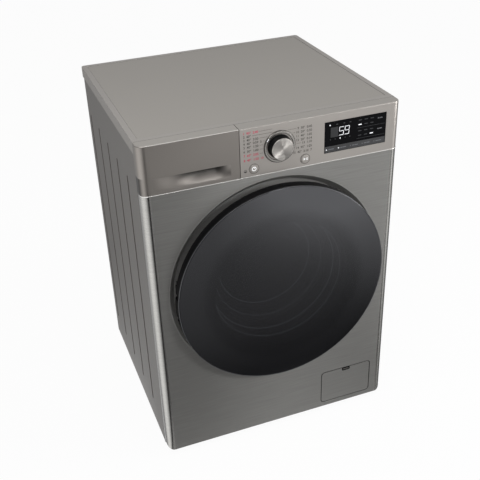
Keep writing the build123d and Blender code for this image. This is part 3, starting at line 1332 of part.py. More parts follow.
def nodes():
    """Every node of the machine, by name."""
    feet_names = ("foot_front_left", "foot_front_right", "foot_rear_left", "foot_rear_right")
    made = {
        "cabinet_wrap": cabinet_wrap(), "rear_cover": rear_cover(), "base_tray": base_tray(),
        "front_panel": front_panel(), "top_frame": top_frame(), "top_plate": top_plate(),
        "control_fascia": control_fascia(), "display_window": display_window(), "display_board": display_board(),
        "knob_bezel": knob_bezel(), "program_knob": program_knob(), "knob_cap": knob_cap(),
        "drawer_front": drawer_front(), "drawer_tray": drawer_tray(), "siphon_cap": siphon_cap(),
        "dispenser_housing": dispenser_housing(), "dispenser_hose": dispenser_hose(),
        "inlet_valve": inlet_valve(), "inlet_hoses": inlet_hoses(), "drain_pump": drain_pump(),
        "sump_hose": sump_hose(), "drain_hose": drain_hose(), "drain_outlet": drain_outlet(),
        "cord_gland": cord_gland(), "transit_caps": transit_caps(), "rear_screws": rear_screws(),
        "filter_bay": filter_bay(), "filter_flap": filter_flap(), "drain_filter": drain_filter(),
        "door_frame": door_frame(), "door_cover": door_cover(), "door_bowl": door_bowl(),
        "door_retainer": door_retainer(), "door_hook": door_hook(), "door_hinge": door_hinge(),
        "door_lock": door_lock(), "gasket": gasket(),
        "drum_shell": drum_shell(), "drum_back": drum_back(), "drum_lifters": drum_lifters(),
        "drum_spider": drum_spider(), "bearings": bearings(), "rotor": rotor(), "tub_rear": tub_rear(),
        "tub_front": tub_front(), "counterweights": counterweight(1) + counterweight(-1),
        "stator": stator(), "heater": heater(), "spring_hangers": spring_hangers(), "springs": springs(),
        "damper_cylinders": damper_cylinders(), "damper_rods": damper_rods(), "main_board": main_board(),
        "foot_nuts": foot_nuts(),
    }
    for name, (x, z) in zip(("power_button", "start_button"), button_places()):
        made[name] = push_button(x, z)
    for name, (x, y) in zip(feet_names, foot_places()):
        made[name] = foot(x, y)
    return made


os.makedirs("parts", exist_ok=True)
for name, part in nodes().items():
    export_step(part, f"parts/{name}.step")
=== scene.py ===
"""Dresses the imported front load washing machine: finishes, rubber pieces, printed marks, studio, camera."""
import json
import logging
import math
from dataclasses import dataclass, field
from enum import Enum
from typing import Dict, Iterable, List, Optional, Sequence, Tuple, Union

import bmesh
import bpy
from mathutils import Matrix, Vector

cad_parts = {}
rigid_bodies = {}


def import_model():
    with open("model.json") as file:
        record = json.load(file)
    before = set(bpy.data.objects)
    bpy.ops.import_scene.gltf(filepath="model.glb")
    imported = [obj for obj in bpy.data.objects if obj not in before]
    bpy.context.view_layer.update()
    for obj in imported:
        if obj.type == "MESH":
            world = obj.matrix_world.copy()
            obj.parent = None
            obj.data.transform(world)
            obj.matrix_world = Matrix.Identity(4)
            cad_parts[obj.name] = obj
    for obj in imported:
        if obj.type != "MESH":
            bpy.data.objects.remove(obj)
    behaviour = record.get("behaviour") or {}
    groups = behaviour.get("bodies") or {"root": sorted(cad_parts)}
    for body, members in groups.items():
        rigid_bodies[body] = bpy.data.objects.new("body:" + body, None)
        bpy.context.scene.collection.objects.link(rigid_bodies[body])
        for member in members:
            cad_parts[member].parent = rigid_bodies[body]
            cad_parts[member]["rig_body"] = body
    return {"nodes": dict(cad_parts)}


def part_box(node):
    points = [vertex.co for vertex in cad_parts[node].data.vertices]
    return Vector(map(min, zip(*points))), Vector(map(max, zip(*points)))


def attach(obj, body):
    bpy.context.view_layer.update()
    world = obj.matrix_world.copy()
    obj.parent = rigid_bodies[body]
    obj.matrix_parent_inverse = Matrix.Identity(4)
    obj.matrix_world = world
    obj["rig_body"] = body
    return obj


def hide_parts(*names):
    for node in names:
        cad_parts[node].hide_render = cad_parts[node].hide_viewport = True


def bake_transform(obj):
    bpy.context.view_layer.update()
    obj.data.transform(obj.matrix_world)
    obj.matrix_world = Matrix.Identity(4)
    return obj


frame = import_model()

LOG = logging.getLogger("washer")
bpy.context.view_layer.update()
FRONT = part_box("front_panel")[0].y
DRUM_LOW, DRUM_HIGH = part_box("drum_shell")
AXIS = Vector((0.0, 0.0, (DRUM_LOW.z + DRUM_HIGH.z) / 2))
QUARTER = math.pi / 2
WELD = 1e-6
FILM = 0.0001  # thickness of printed ink, and of the thin gaps laid on the front
FINE = 60.0  # edges of finely stepped round pieces are smooth under this angle
Colour = Point3 = Tuple[float, float, float]
Point2 = Tuple[float, float]
Mesh = bmesh.types.BMesh
Material = bpy.types.Material


def srgb(red: int, green: int, blue: int) -> Colour:
    """Linear colour of an 8-bit display colour.

    Args:
        red: Red, 0 to 255.
        green: Green, 0 to 255.
        blue: Blue, 0 to 255.

    Returns:
        The colour as three linear numbers.
    """
    def linear(value: float) -> float:
        """One channel, made linear."""
        return value / 12.92 if value <= 0.04045 else ((value + 0.055) / 1.055) ** 2.4
    return (linear(red / 255), linear(green / 255), linear(blue / 255))


class Body(str, Enum):
    """The rigid bodies that pieces ride on."""

    CABINET = "cabinet"
    DOOR = "door"
    DRAWER = "drawer"
    KNOB = "knob"
    POWER = "power_key"
    START = "start_key"
    FLAP = "flap"
    FILTER = "filter"
    TUB = "tub"
    DRUM = "drum"
    FRONT_LEFT_FOOT = "front_left_foot"
    FRONT_RIGHT_FOOT = "front_right_foot"
    REAR_LEFT_FOOT = "rear_left_foot"
    REAR_RIGHT_FOOT = "rear_right_foot"


class Slot(str, Enum):
    """The record's material slots; each finish holds one."""

    BRUSHED_FRONT = "brushed_front"
    GREY_PAINT = "grey_paint"
    ZINC = "zinc"
    GREY_PLASTIC = "grey_plastic"
    TOP_GREY = "top_grey"
    SMOKED_COVER = "smoked_cover"
    CLEAR_GLASS = "clear_glass"
    BLACK_GLOSS = "black_gloss"
    BLACK_PLASTIC = "black_plastic"
    DISPLAY_GLASS = "display_glass"
    SPUN_METAL = "spun_metal"
    DARK_CHROME = "dark_chrome"
    WHITE_PLASTIC = "white_plastic"
    BLUE_PLASTIC = "blue_plastic"
    BOARD_GREEN = "board_green"
    GREY_RUBBER = "grey_rubber"
    BLACK_RUBBER = "black_rubber"
    STAINLESS = "stainless"
    TUB_PLASTIC = "tub_plastic"
    CAST_GREY = "cast_grey"
    CAST_ALLOY = "cast_alloy"
    STEEL = "steel"


class Sock:
    """A shader socket with arithmetic, so that patterns read as expressions."""

    def __init__(self, shader: "Shader", socket: bpy.types.NodeSocket) -> None:
        """Keeps the socket and the shader that it belongs to."""
        self.shader = shader
        self.socket = socket

    def __add__(self, other: "Term") -> "Sock":
        """Sum."""
        return self.shader.math("ADD", self, other)

    __radd__ = __add__

    def __sub__(self, other: "Term") -> "Sock":
        """Difference."""
        return self.shader.math("SUBTRACT", self, other)

    def __rsub__(self, other: "Term") -> "Sock":
        """Difference, from a number."""
        return self.shader.math("SUBTRACT", other, self)

    def __mul__(self, other: "Term") -> "Sock":
        """Product."""
        return self.shader.math("MULTIPLY", self, other)

    __rmul__ = __mul__

    def __truediv__(self, other: "Term") -> "Sock":
        """Quotient."""
        return self.shader.math("DIVIDE", self, other)

    def __pow__(self, other: "Term") -> "Sock":
        """Power."""
        return self.shader.math("POWER", self, other)

    def below(self, edge: float, soft: float) -> "Sock":
        """1 under an edge and 0 over it, with a soft step between."""
        return self.shader.ramp(self, edge + soft, edge - soft)

    def above(self, edge: float, soft: float) -> "Sock":
        """0 under an edge and 1 over it, with a soft step between."""
        return self.shader.ramp(self, edge - soft, edge + soft)


Term = Union[float, Sock]


class Shader:
    """A node tree of a material or the world, and the nodes that the finishes are written with."""

    def __init__(self, name: str, holder: Optional[bpy.types.World] = None) -> None:
        """Starts an empty tree.

        Args:
            name: Name of the new material.
            holder: A world that takes the tree in place of a new material.
        """
        self.material = holder or bpy.data.materials.new(name)
        self.material.use_nodes = True
        self.tree = self.material.node_tree
        self.tree.nodes.clear()

    def node(self, kind: str, settings: Optional[dict] = None, sockets: Optional[dict] = None) -> bpy.types.Node:
        """Adds a node.

        Args:
            kind: The node's type.
            settings: Its properties, set first.
            sockets: Input names or numbers, with the value or the socket for each.

        Returns:
            The new node.
        """
        node = self.tree.nodes.new(kind)
        for key, value in (settings or {}).items():
            if key == "stops":
                self.set_stops(node.color_ramp, value)
            else:
                setattr(node, key, value)
        for key, value in (sockets or {}).items():
            if isinstance(value, Sock):
                self.tree.links.new(value.socket, node.inputs[key])
            else:
                node.inputs[key].default_value = value
        return node

    def set_stops(self, ramp: bpy.types.ColorRamp, stops: Sequence[Point2]) -> None:
        """Sets a ramp's grey levels, as (place, level) pairs.

        Args:
            ramp: The ramp.
            stops: Its places and levels.
        """
        while len(ramp.elements) < len(stops):
            ramp.elements.new(1.0)
        for element, (place, level) in zip(ramp.elements, stops):
            element.position = place
            element.color = (level, level, level, 1.0)

    def out(self, node: bpy.types.Node, key: Union[int, str] = 0) -> Sock:
        """One of a node's outputs."""
        return Sock(self, node.outputs[key])

    def get(
        self, kind: str, settings: Optional[dict] = None, sockets: Optional[dict] = None, key: Union[int, str] = 0
    ) -> Sock:
        """Adds a node and hands out one of its outputs."""
        return self.out(self.node(kind, settings, sockets), key)

    def math(self, operation: str, *terms: Term) -> Sock:
        """A Math node on up to three terms."""
        return self.get("ShaderNodeMath", {"operation": operation}, dict(enumerate(terms)))

    def vector(self, operation: str, *terms: Union[Sock, Sequence[float]], **named: Term) -> Sock:
        """A Vector Math node."""
        return self.get("ShaderNodeVectorMath", {"operation": operation}, {**dict(enumerate(terms)), **named})

    def ramp(self, value: Term, low: float, high: float, floor: float = 0.0, ceiling: float = 1.0) -> Sock:
        """A smooth step of a value, from floor at low to ceiling at high."""
        sockets = {0: value, 1: low, 2: high, 3: floor, 4: ceiling}
        return self.get("ShaderNodeMapRange", {"interpolation_type": "SMOOTHSTEP"}, sockets)

    def place(self, scale: Sequence[float] = (1, 1, 1), shift: Sequence[float] = (0, 0, 0)) -> Sock:
        """Object coordinates, shifted and then scaled."""
        where = self.get("ShaderNodeTexCoord", key="Object")
        return self.vector("MULTIPLY", self.vector("ADD", where, tuple(shift)), tuple(scale))

    def axes(self, vector: Sock) -> Tuple[Sock, ...]:
        """A vector's three parts."""
        parts = self.node("ShaderNodeSeparateXYZ", None, {0: vector})
        return tuple(self.out(parts, i) for i in range(3))

    def noise(self, vector: Sock, detail: float = 2.0, rough: float = 0.55) -> Sock:
        """Soft noise, from 0 to 1."""
        sockets = {"Vector": vector, "Scale": 1.0, "Detail": detail, "Roughness": rough}
        return self.get("ShaderNodeTexNoise", None, sockets)

    def grain(self, scale: float, detail: float = 2.0, rough: float = 0.55) -> Sock:
        """Noise that is the same in all directions."""
        return self.noise(self.place((scale, scale, scale)), detail, rough)

    def tint(self, factor: Term, first: Union[Colour, Sock], second: Union[Colour, Sock]) -> Sock:
        """A mix of two colours."""
        one, two = (c if isinstance(c, Sock) else (*c, 1.0) for c in (first, second))
        return self.get("ShaderNodeMix", {"data_type": "RGBA"}, {0: factor, 6: one, 7: two}, 2)

    def bump(self, height: Sock, distance: float, strength: float) -> Sock:
        """A normal from a height, in metres."""
        return self.get("ShaderNodeBump", None, {"Height": height, "Distance": distance, "Strength": strength})

    def combed(self, direction: Union[Sock, Sequence[float]], lean: Sock) -> Sock:
        """A normal that leans to and fro along one direction, as on brushed or turned metal.

        Args:
            direction: The direction across the brush marks, in the piece's own frame.
            lean: How far it leans, either way.

        Returns:
            The normal.
        """
        to_world = {"vector_type": "VECTOR", "convert_from": "OBJECT", "convert_to": "WORLD"}
        across = self.get("ShaderNodeVectorTransform", to_world, {0: direction})
        upright = self.get("ShaderNodeNewGeometry", key="Normal")
        return self.vector("NORMALIZE", self.vector("ADD", upright, self.vector("SCALE", across, Scale=lean)))

    def rays(self) -> Tuple[Sock, Sock]:
        """Whether a ray is the camera's, straight or through glass, and whether it comes off a polished face.

        Returns:
            The two answers, as 0 or 1.
        """
        path = self.node("ShaderNodeLightPath")
        camera, glass, glossy = (self.out(path, f"Is {kind} Ray") for kind in ("Camera", "Transmission", "Glossy"))
        return self.math("MAXIMUM", camera, glass), glossy

    def mix(self, factor: Term, first: Sock, second: Sock) -> Sock:
        """A mix of two shaders."""
        return self.get("ShaderNodeMixShader", None, {0: factor, 1: first, 2: second})

    def close(self, kind: str, last: Sock) -> None:
        """Leads the last shader to the tree's output."""
        self.tree.links.new(last.socket, self.node(f"ShaderNodeOutput{kind}").inputs[0])

    def surface(self, **sockets: object) -> Material:
        """Closes the tree with a principled surface.

        Args:
            sockets: Principled inputs, with spaces written as underscores.

        Returns:
            The finished material.
        """
        named = {key.replace("_", " "): value for key, value in sockets.items()}
        self.close("Material", self.get("ShaderNodeBsdfPrincipled", None, named))
        return self.material


@dataclass(frozen=True)
class Finish:
    """A finish makes its material once and hands it out after that."""

    name: str
    slot: Slot
    tint: Colour

    def shade(self, share: float) -> Colour:
        """The finish's colour, darker or lighter by a share."""
        return tuple(min(1.0, c * share) for c in self.tint)

    def build(self, shader: Shader) -> Material:
        """Writes the finish's nodes."""
        raise NotImplementedError

    def material(self) -> Material:
        """The finish's material, under a name that no material of the frame has."""
        label = f"dressed_{self.name}"
        return bpy.data.materials.get(label) or self.build(Shader(label))


@dataclass(frozen=True)
class BrushedSteel(Finish):
    """Steel sheet with fine brush lines that run across."""

    rough: float = 0.40
    streak: float = 0.20
    metal: float = 0.90
    comb: float = 0.10
    # Inside the dish's radius the steel is less metallic and so looks lighter: partly a satin dish, partly painted
    # light against the shade that the door casts in it.
    satin_shade_lift_radius: float = 0.0
    bend: float = 10.0
    satin: float = 0.6
    polish: float = 0.26

    def build(self, shader: Shader) -> Material:
        """Lines in colour, roughness and height, stretched along the brush.

        Args:
            shader: The shader to write it with.

        Returns:
            The material.
        """
        fine = shader.noise(shader.place((14.0, 14.0, 2400.0)), 2.0, 0.6)
        broad = shader.noise(shader.place((9.0, 9.0, 420.0), (3.1, 0.7, 0.2)), 2.0, 0.6)
        cloud = shader.grain(2.2)
        lines = (fine * 0.4 + broad * 0.6 - 0.5) * 1.5 + 0.5
        x, _, z = shader.axes(shader.place((1, 1, 1), (-AXIS.x, 0.0, -AXIS.z)))
        # Painted light, in part: the dish is made less metallic so that it reads lighter in the door's shade.
        satin = ((x * x + z * z) ** 0.5).below(self.satin_shade_lift_radius, 0.003)
        polished = shader.math("ABSOLUTE", x).above(self.bend, 0.0015)
        return shader.surface(
            Base_Color=shader.tint(lines, self.shade(1 - self.streak), self.shade(1 + self.streak)),
            Metallic=self.metal - satin * self.satin, Anisotropic=1.0, Anisotropic_Rotation=0.25,
            Roughness=self.rough - 0.03 + lines * 0.06 + cloud * 0.02 - polished * self.polish,
            Normal=shader.combed((0.0, 0.0, 1.0), (fine - 0.5) * self.comb),
        )


@dataclass(frozen=True)
class MetallicPaint(Finish):
    """Satin grey paint with fine metal flake."""

    rough: float = 0.36
    metal: float = 0.55
    peel: float = 0.00002
    # hollow, hollow_depth, hollow_top: painted shade, how dark it gets deep in a hollow of the front, the depths it
    # spans, and the height where it stops.
    hollow: float = 0.0
    crest: float = 10.0
    hollow_depth: Point2 = (0.0004, 0.0125)
    hollow_top: float = 0.7775

    def build(self, shader: Shader) -> Material:
        """Flake in colour, peel in height, painted shade deep in a hollow of the front, and a plain coat on top.

        Args:
            shader: The shader to write it with.

        Returns:
            The material.
        """
        flake = shader.grain(2600.0, 1.0, 0.5)
        drift = shader.grain(3.0)
        peel = shader.grain(420.0)
        _, depth, height = shader.axes(shader.place((1, 1, 1), (0.0, -FRONT, 0.0)))
        # Painted shade: the base colour darkens towards black the deeper the face lies behind the front, below the
        # hollow's top.
        deep = shader.ramp(depth, *self.hollow_depth, 0.0, self.hollow) * height.below(self.hollow_top, 0.0005)
        crest = height.above(self.crest, 0.0006)
        coat = shader.tint(flake * 0.7 + drift * 0.3, self.shade(0.93), self.shade(1.07))
        return shader.surface(
            Base_Color=shader.tint(deep, shader.tint(crest, coat, TOP_COLOUR), (0.01, 0.01, 0.01)),
            Metallic=self.metal - crest * 0.5,
            Roughness=self.rough + (flake - 0.5) * 0.10 + (drift - 0.5) * 0.05,
            Normal=shader.bump(peel, self.peel, 0.5),
        )


@dataclass(frozen=True)
class SatinPlastic(Finish):
    """Moulded plastic with a faint spark-eroded grain."""

    rough: float = 0.45
    grain: float = 0.00003

    def build(self, shader: Shader) -> Material:
        """Grain in height, slow drift in colour and gloss.

        Args:
            shader: The shader to write it with.

        Returns:
            The material.
        """
        grain = shader.grain(900.0)
        drift = shader.grain(9.0, 3.0)
        return shader.surface(
            Base_Color=shader.tint(drift, self.shade(0.94), self.shade(1.05)),
            Roughness=self.rough + (drift - 0.5) * 0.12, Normal=shader.bump(grain, self.grain, 0.4),
        )


@dataclass(frozen=True)
class GlossBlack(Finish):
    """Polished black moulding with faint flow marks."""

    rough: float = 0.12
    shine: float = 0.5

    def build(self, shader: Shader) -> Material:
        """A thin drift in gloss keeps the reflection from being perfect.

        Args:
            shader: The shader to write it with.

        Returns:
            The material.
        """
        drift = shader.grain(14.0, 3.0)
        return shader.surface(
            Base_Color=shader.tint(drift, self.tint, self.shade(1.5)), Roughness=self.rough + (drift - 0.5) * 0.06,
            Normal=shader.bump(drift, 0.0001, 0.15), Specular_IOR_Level=self.shine,
        )


@dataclass(frozen=True)
class SmokedCover(Finish):
    """Dark glass: opaque print round the edge, see-through in the middle."""

    clear_radius: float = 0.190
    clear_alpha: float = 0.72
    soft: float = 0.020

    def build(self, shader: Shader) -> Material:
        """The print's edge follows the distance from the door's axis.

        Args:
            shader: The shader to write it with.

        Returns:
            The material.
        """
        x, _, z = shader.axes(shader.place((1, 1, 1), (-AXIS.x, 0.0, -AXIS.z)))
        radius = (x * x + z * z) ** 0.5
        edge = radius.above(self.clear_radius, self.soft)
        drift = shader.grain(5.0)
        return shader.surface(
            Base_Color=shader.tint(drift, self.tint, self.shade(1.6)), Roughness=0.05 + drift * 0.03,
            Alpha=edge * (1 - self.clear_alpha) + self.clear_alpha, Specular_IOR_Level=1.0, IOR=1.56,
            Specular_Tint=(0.94, 0.95, 1.0, 1.0),
        )


@dataclass(frozen=True)
class ClearGlass(Finish):
    """Pressed bowl glass with a slight waviness."""

    def build(self, shader: Shader) -> Material:
        """Clear by alpha, fuller where the wall is seen edge on, with soft waves in height.

        Args:
            shader: The shader to write it with.

        Returns:
            The material.
        """
        wave = shader.grain(22.0)
        rim = shader.get("ShaderNodeLayerWeight", None, {"Blend": 0.35}, "Fresnel")
        return shader.surface(
            Base_Color=shader.tint(wave, self.tint, self.shade(0.95)),
            Roughness=0.03 + wave * 0.03, Alpha=rim * 0.6 + 0.07, Normal=shader.bump(wave, 0.0008, 0.25),
        )


@dataclass(frozen=True)
class Rubber(Finish):
    """Moulded rubber, matt with a bloom."""

    def build(self, shader: Shader) -> Material:
        """Bloom in colour, fine pores in height.

        Args:
            shader: The shader to write it with.

        Returns:
            The material.
        """
        bloom = shader.grain(30.0, 4.0)
        pores = shader.grain(1200.0)
        light = tuple(min(1.0, c * 1.25 + 0.01) for c in self.tint)
        return shader.surface(
            Base_Color=shader.tint(bloom, self.tint, light), Roughness=0.62 + bloom * 0.2,
            Normal=shader.bump(pores, 0.00005, 0.5),
        )


@dataclass(frozen=True)
class SpunMetal(Finish):
    """Metal turned on a lathe, with rings about one point of the front."""

    centre: Tuple[float, float]
    rough: float = 0.25
    comb: float = 0.75
    pitch: float = 3100.0
    rings: float = 4200.0

    def build(self, shader: Shader) -> Material:
        """The normal leans in and out along the radius, so that light gathers in wedges.

        Args:
            shader: The shader to write it with.

        Returns:
            The material.
        """
        spot = shader.place((1, 1, 1), (-self.centre[0], 0.0, -self.centre[1]))
        x, _, z = shader.axes(spot)
        radius = (x * x + z * z) ** 0.5
        ring = shader.noise(shader.get("ShaderNodeCombineXYZ", None, {0: radius * self.rings}), 3.0, 0.6)
        outward = shader.vector("NORMALIZE", shader.vector("MULTIPLY", spot, (1.0, 0.0, 1.0)))
        groove = shader.math("FRACT", radius * self.pitch + ring) - 0.5
        return shader.surface(
            Base_Color=shader.tint(ring, self.shade(0.85), self.tint), Metallic=1.0,
            Roughness=self.rough + ring * 0.06, Normal=shader.combed(outward, groove * (2 * self.comb)),
        )


@dataclass(frozen=True)
class PerforatedSteel(Finish):
    """Bright drum sheet with staggered rows of drain holes."""

    columns: float = 96.0
    pitch: float = 0.017
    hole: float = 0.16
    wall_radius: float = 0.238

    def build(self, shader: Shader) -> Material:
        """Holes are laid out by angle about the drum's axis and by depth.

        Args:
            shader: The shader to write it with.

        Returns:
            The material.
        """
        x, y, z = shader.axes(shader.place((1, 1, 1), (0.0, -DRUM_LOW.y, -AXIS.z)))
        turn = shader.math("ARCTAN2", x, z) * (self.columns / (math.tau))
        row = y * (1 / self.pitch)
        odd = shader.math("MODULO", shader.math("FLOOR", row) + 100.0, 2.0) * 0.5
        u = shader.math("FRACT", turn + odd + 200.0) - 0.5
        v = shader.math("FRACT", row) - 0.5
        spot = (u * u + v * v) ** 0.5
        wall = ((x * x + z * z) ** 0.5).above(self.wall_radius, 0.001)
        hole = spot.below(self.hole, 0.03) * wall
        dimple = spot.below(self.hole + 0.14, 0.12) * wall
        grain = shader.noise(shader.place((60.0, 900.0, FINE)))
        bright = shader.tint(grain, self.shade(0.92), self.tint)
        return shader.surface(
            Base_Color=shader.tint(hole, bright, (0.004, 0.004, 0.004)), Metallic=1 - hole,
            Roughness=0.24 + grain * 0.08 + hole * 0.5, Normal=shader.bump(0 - dimple, 0.0012, 0.8),
        )


@dataclass(frozen=True)
class CastMetal(Finish):
    """Cast or plated metal with a coarse skin."""

    rough: float = 0.42
    skin: float = 0.0002

    def build(self, shader: Shader) -> Material:
        """Skin in height and gloss.

        Args:
            shader: The shader to write it with.

        Returns:
            The material.
        """
        skin = shader.grain(260.0, 4.0)
        return shader.surface(
            Base_Color=shader.tint(skin, self.shade(0.85), self.tint), Metallic=1.0,
            Roughness=self.rough + (skin - 0.5) * 0.2, Normal=shader.bump(skin, self.skin, 0.4),
        )


@dataclass(frozen=True)
class PrintedInk(Finish):
    """Screen-printed ink, a lit mark behind the display's glass, or a glowing bead on the bowl glass that is a painted
    glint.
    """

    glow: float = 0.0

    def build(self, shader: Shader) -> Material:
        """Thin ink with a speckle from the screen's mesh.

        Args:
            shader: The shader to write it with.

        Returns:
            The material.
        """
        mesh = shader.grain(1500.0, 1.0)
        return shader.surface(
            Base_Color=shader.tint(mesh, self.shade(0.9), self.tint), Roughness=0.5 + mesh * 0.1,
            Emission_Color=(*self.tint, 1.0), Emission_Strength=self.glow,
        )


TOP_COLOUR = srgb(168, 164, 158)
# The dish is less metallic out to 0.262 m: partly satin, partly painted light in the door's shade.
STEEL_FRONT = BrushedSteel("steel_front", Slot.BRUSHED_FRONT, srgb(162, 161, 158), satin_shade_lift_radius=0.262, bend=0.2812)
STEEL_BRIGHT = BrushedSteel("steel_bright", Slot.STAINLESS, srgb(200, 200, 198), 0.30, 0.05, 1.0)
GREY_PAINT = MetallicPaint("grey_paint", Slot.GREY_PAINT, srgb(120, 116, 112), 0.38, 0.35)
GREY_FASCIA = MetallicPaint("grey_fascia", Slot.GREY_PLASTIC, srgb(172, 167, 162), 0.34, 0.85, crest=0.8492)
# A darker copy of the fascia's grey for the drawer front: painted shade on the left of the front; its hollow also
# paints shade deep in the finger scoop.
SHADED_GREY_DRAWER = MetallicPaint("shaded_grey_drawer", Slot.GREY_PLASTIC, srgb(142, 137, 132), 0.36, 0.8, 0.00002, 0.86, 0.8492)
GREY_TOP = MetallicPaint("grey_top", Slot.TOP_GREY, TOP_COLOUR, 0.5, 0.35, 0.00004)
GREY_RAIL = MetallicPaint("grey_rail", Slot.TOP_GREY, srgb(170, 166, 161), 0.45, 0.35)
BEZEL_GREY = MetallicPaint("bezel_grey", Slot.DARK_CHROME, srgb(150, 147, 143), 0.24, 0.9)
# A paler copy of the front's steel, for edge beads: a painted highlight.
PALE_HIGHLIGHT = MetallicPaint("pale_highlight", Slot.BRUSHED_FRONT, srgb(226, 224, 221), 0.34, 0.95)
# A paler copy of the drawer's grey, for its top edge: a painted highlight.
SOFT_HIGHLIGHT = SatinPlastic("soft_highlight", Slot.GREY_PLASTIC, srgb(212, 209, 204), 0.4)
# A lighter grey than the black ring, for the bead at the cover's edge: a painted highlight on its ground edge.
RIM_HIGHLIGHT_GREY = GlossBlack("rim_highlight_grey", Slot.BLACK_GLOSS, srgb(70, 71, 74), 0.3, 0.4)
ZINC = CastMetal("zinc", Slot.ZINC, srgb(170, 170, 168), 0.45, 0.00005)
BLACK_GLOSS = GlossBlack("black_gloss", Slot.BLACK_GLOSS, srgb(12, 12, 13), 0.28, 0.1)
RING_BLACK = GlossBlack("ring_black", Slot.BLACK_GLOSS, srgb(13, 13, 14), 0.32, 0.03)
BLACK_SATIN = SatinPlastic("black_satin", Slot.BLACK_PLASTIC, srgb(28, 28, 29), 0.5)
JOINT_GREY = SatinPlastic("joint_grey", Slot.TOP_GREY, srgb(74, 71, 68), 0.6)
SMOKED = SmokedCover("smoked", Slot.SMOKED_COVER, srgb(8, 8, 10))
BOWL_GLASS = ClearGlass("bowl_glass", Slot.CLEAR_GLASS, srgb(120, 124, 126))
DISPLAY_GLASS = GlossBlack("display_glass", Slot.DISPLAY_GLASS, srgb(6, 6, 8), 0.07, 0.06)
KEY_STRIP = GlossBlack("key_strip", Slot.DISPLAY_GLASS, srgb(66, 66, 67), 0.3, 0.1)
WHITE_PLASTIC = SatinPlastic("white_plastic", Slot.WHITE_PLASTIC, srgb(214, 216, 216), 0.42)
BLUE_PLASTIC = SatinPlastic("blue_plastic", Slot.BLUE_PLASTIC, srgb(54, 92, 150), 0.42)
TUB_PLASTIC = SatinPlastic("tub_plastic", Slot.TUB_PLASTIC, srgb(196, 198, 196), 0.5)
BOARD_GREEN = SatinPlastic("board_green", Slot.BOARD_GREEN, srgb(34, 84, 50), 0.4)
GREY_RUBBER = Rubber("grey_rubber", Slot.GREY_RUBBER, srgb(120, 122, 124))
BLACK_RUBBER = Rubber("black_rubber", Slot.BLACK_RUBBER, srgb(26, 26, 27))
DRUM_STEEL = PerforatedSteel("drum_steel", Slot.STAINLESS, srgb(205, 206, 205))
CAST_GREY = CastMetal("cast_grey", Slot.CAST_GREY, srgb(92, 92, 92), 0.6)
CAST_ALLOY = CastMetal("cast_alloy", Slot.CAST_ALLOY, srgb(190, 191, 192), 0.4)
DARK_ALLOY = CastMetal("dark_alloy", Slot.CAST_ALLOY, srgb(34, 34, 36), 0.4)
PLAIN_STEEL = CastMetal("plain_steel", Slot.STEEL, srgb(176, 176, 175), 0.32, 0.00004)
INK_DARK = PrintedInk("ink_dark", Slot.BLACK_PLASTIC, srgb(70, 68, 65))
INK_RED = PrintedInk("ink_red", Slot.GREY_PLASTIC, srgb(206, 52, 88))
INK_WHITE = PrintedInk("ink_white", Slot.WHITE_PLASTIC, srgb(240, 240, 240), 0.35)
# Glowing beads on the bowl glass: moulded steps of the bowl, with painted glints.
BOWL_GLINT = PrintedInk("bowl_glint", Slot.CLEAR_GLASS, srgb(150, 155, 163), 0.50)
INK_LIT = PrintedInk("ink_lit", Slot.DISPLAY_GLASS, srgb(245, 246, 250), 0.46)
INK_MID = PrintedInk("ink_mid", Slot.DISPLAY_GLASS, srgb(104, 105, 108), 0.08)
INK_DIM = PrintedInk("ink_dim", Slot.DISPLAY_GLASS, srgb(52, 53, 56), 0.02)
INK_PALE = PrintedInk("ink_pale", Slot.DISPLAY_GLASS, srgb(40, 41, 43))


def smooth_by_angle(bm: Mesh, degrees: float) -> None:
    """Shades faces smooth and keeps edges sharper than an angle.

    Args:
        bm: The mesh.
        degrees: Edges that turn by more than this stay sharp.
    """
    limit = math.radians(degrees)
    for face in bm.faces:
        face.smooth = True
    for edge in bm.edges:
        edge.smooth = len(edge.link_faces) == 2 and edge.calc_face_angle(0.0) < limit


def publish(
    name: str, bm: Mesh, finish: Finish, body: Optional[Body], replaces: Sequence[str] = (), sharp: float = 35.0
) -> bpy.types.Object:
    """Makes a piece of a mesh and sets it riding.

    Args:
        name: The piece's name.
        bm: Its mesh, which is freed.
        finish: Its finish.
        body: The body that it rides on, or None for a piece left unattached.
        replaces: CAD nodes that it stands for.
        sharp: Edges that turn by more than this many degrees stay sharp.

    Returns:
        The new object.
    """
    smooth_by_angle(bm, sharp)
    mesh = bpy.data.meshes.new(name)
    bm.to_mesh(mesh)
    bm.free()
    mesh.materials.append(finish.material())
    piece = bpy.data.objects.new(name, mesh)
    bpy.context.scene.collection.objects.link(piece)
    if body:
        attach(piece, body.value)
    if replaces:
        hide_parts(*replaces)
    LOG.info("%s: %d faces on %s", name, len(mesh.polygons), body.value if body else "two bodies")
    return piece


def refine(node: str, finish: Finish, bevel: float = 0.0, sharp: float = 30.0) -> bpy.types.Object:
    """Replaces a CAD node by a merged, smooth-shaded copy of its mesh.

    Args:
        node: The CAD node.
        finish: The copy's finish.
        bevel: Width of a small round on its sharp edges, in metres.
        sharp: Edges that turn by more than this many degrees stay sharp.

    Returns:
        The new object.
    """
    source = frame["nodes"][node]
    bm = bmesh.new()
    bm.from_mesh(source.data)
    bmesh.ops.remove_doubles(bm, verts=bm.verts, dist=2e-6)
    bmesh.ops.dissolve_limit(bm, angle_limit=math.radians(0.4), verts=bm.verts, edges=bm.edges, delimit=set())
    piece = publish(f"{node}_dressed", bm, finish, Body(source["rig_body"]), [node], sharp)
    if bevel:
        rounding = piece.modifiers.new("round", "BEVEL")
        rounding.width = bevel
        rounding.segments = 2
        rounding.limit_method = "ANGLE"
        rounding.angle_limit = math.radians(sharp)
        rounding.harden_normals = True
    return piece


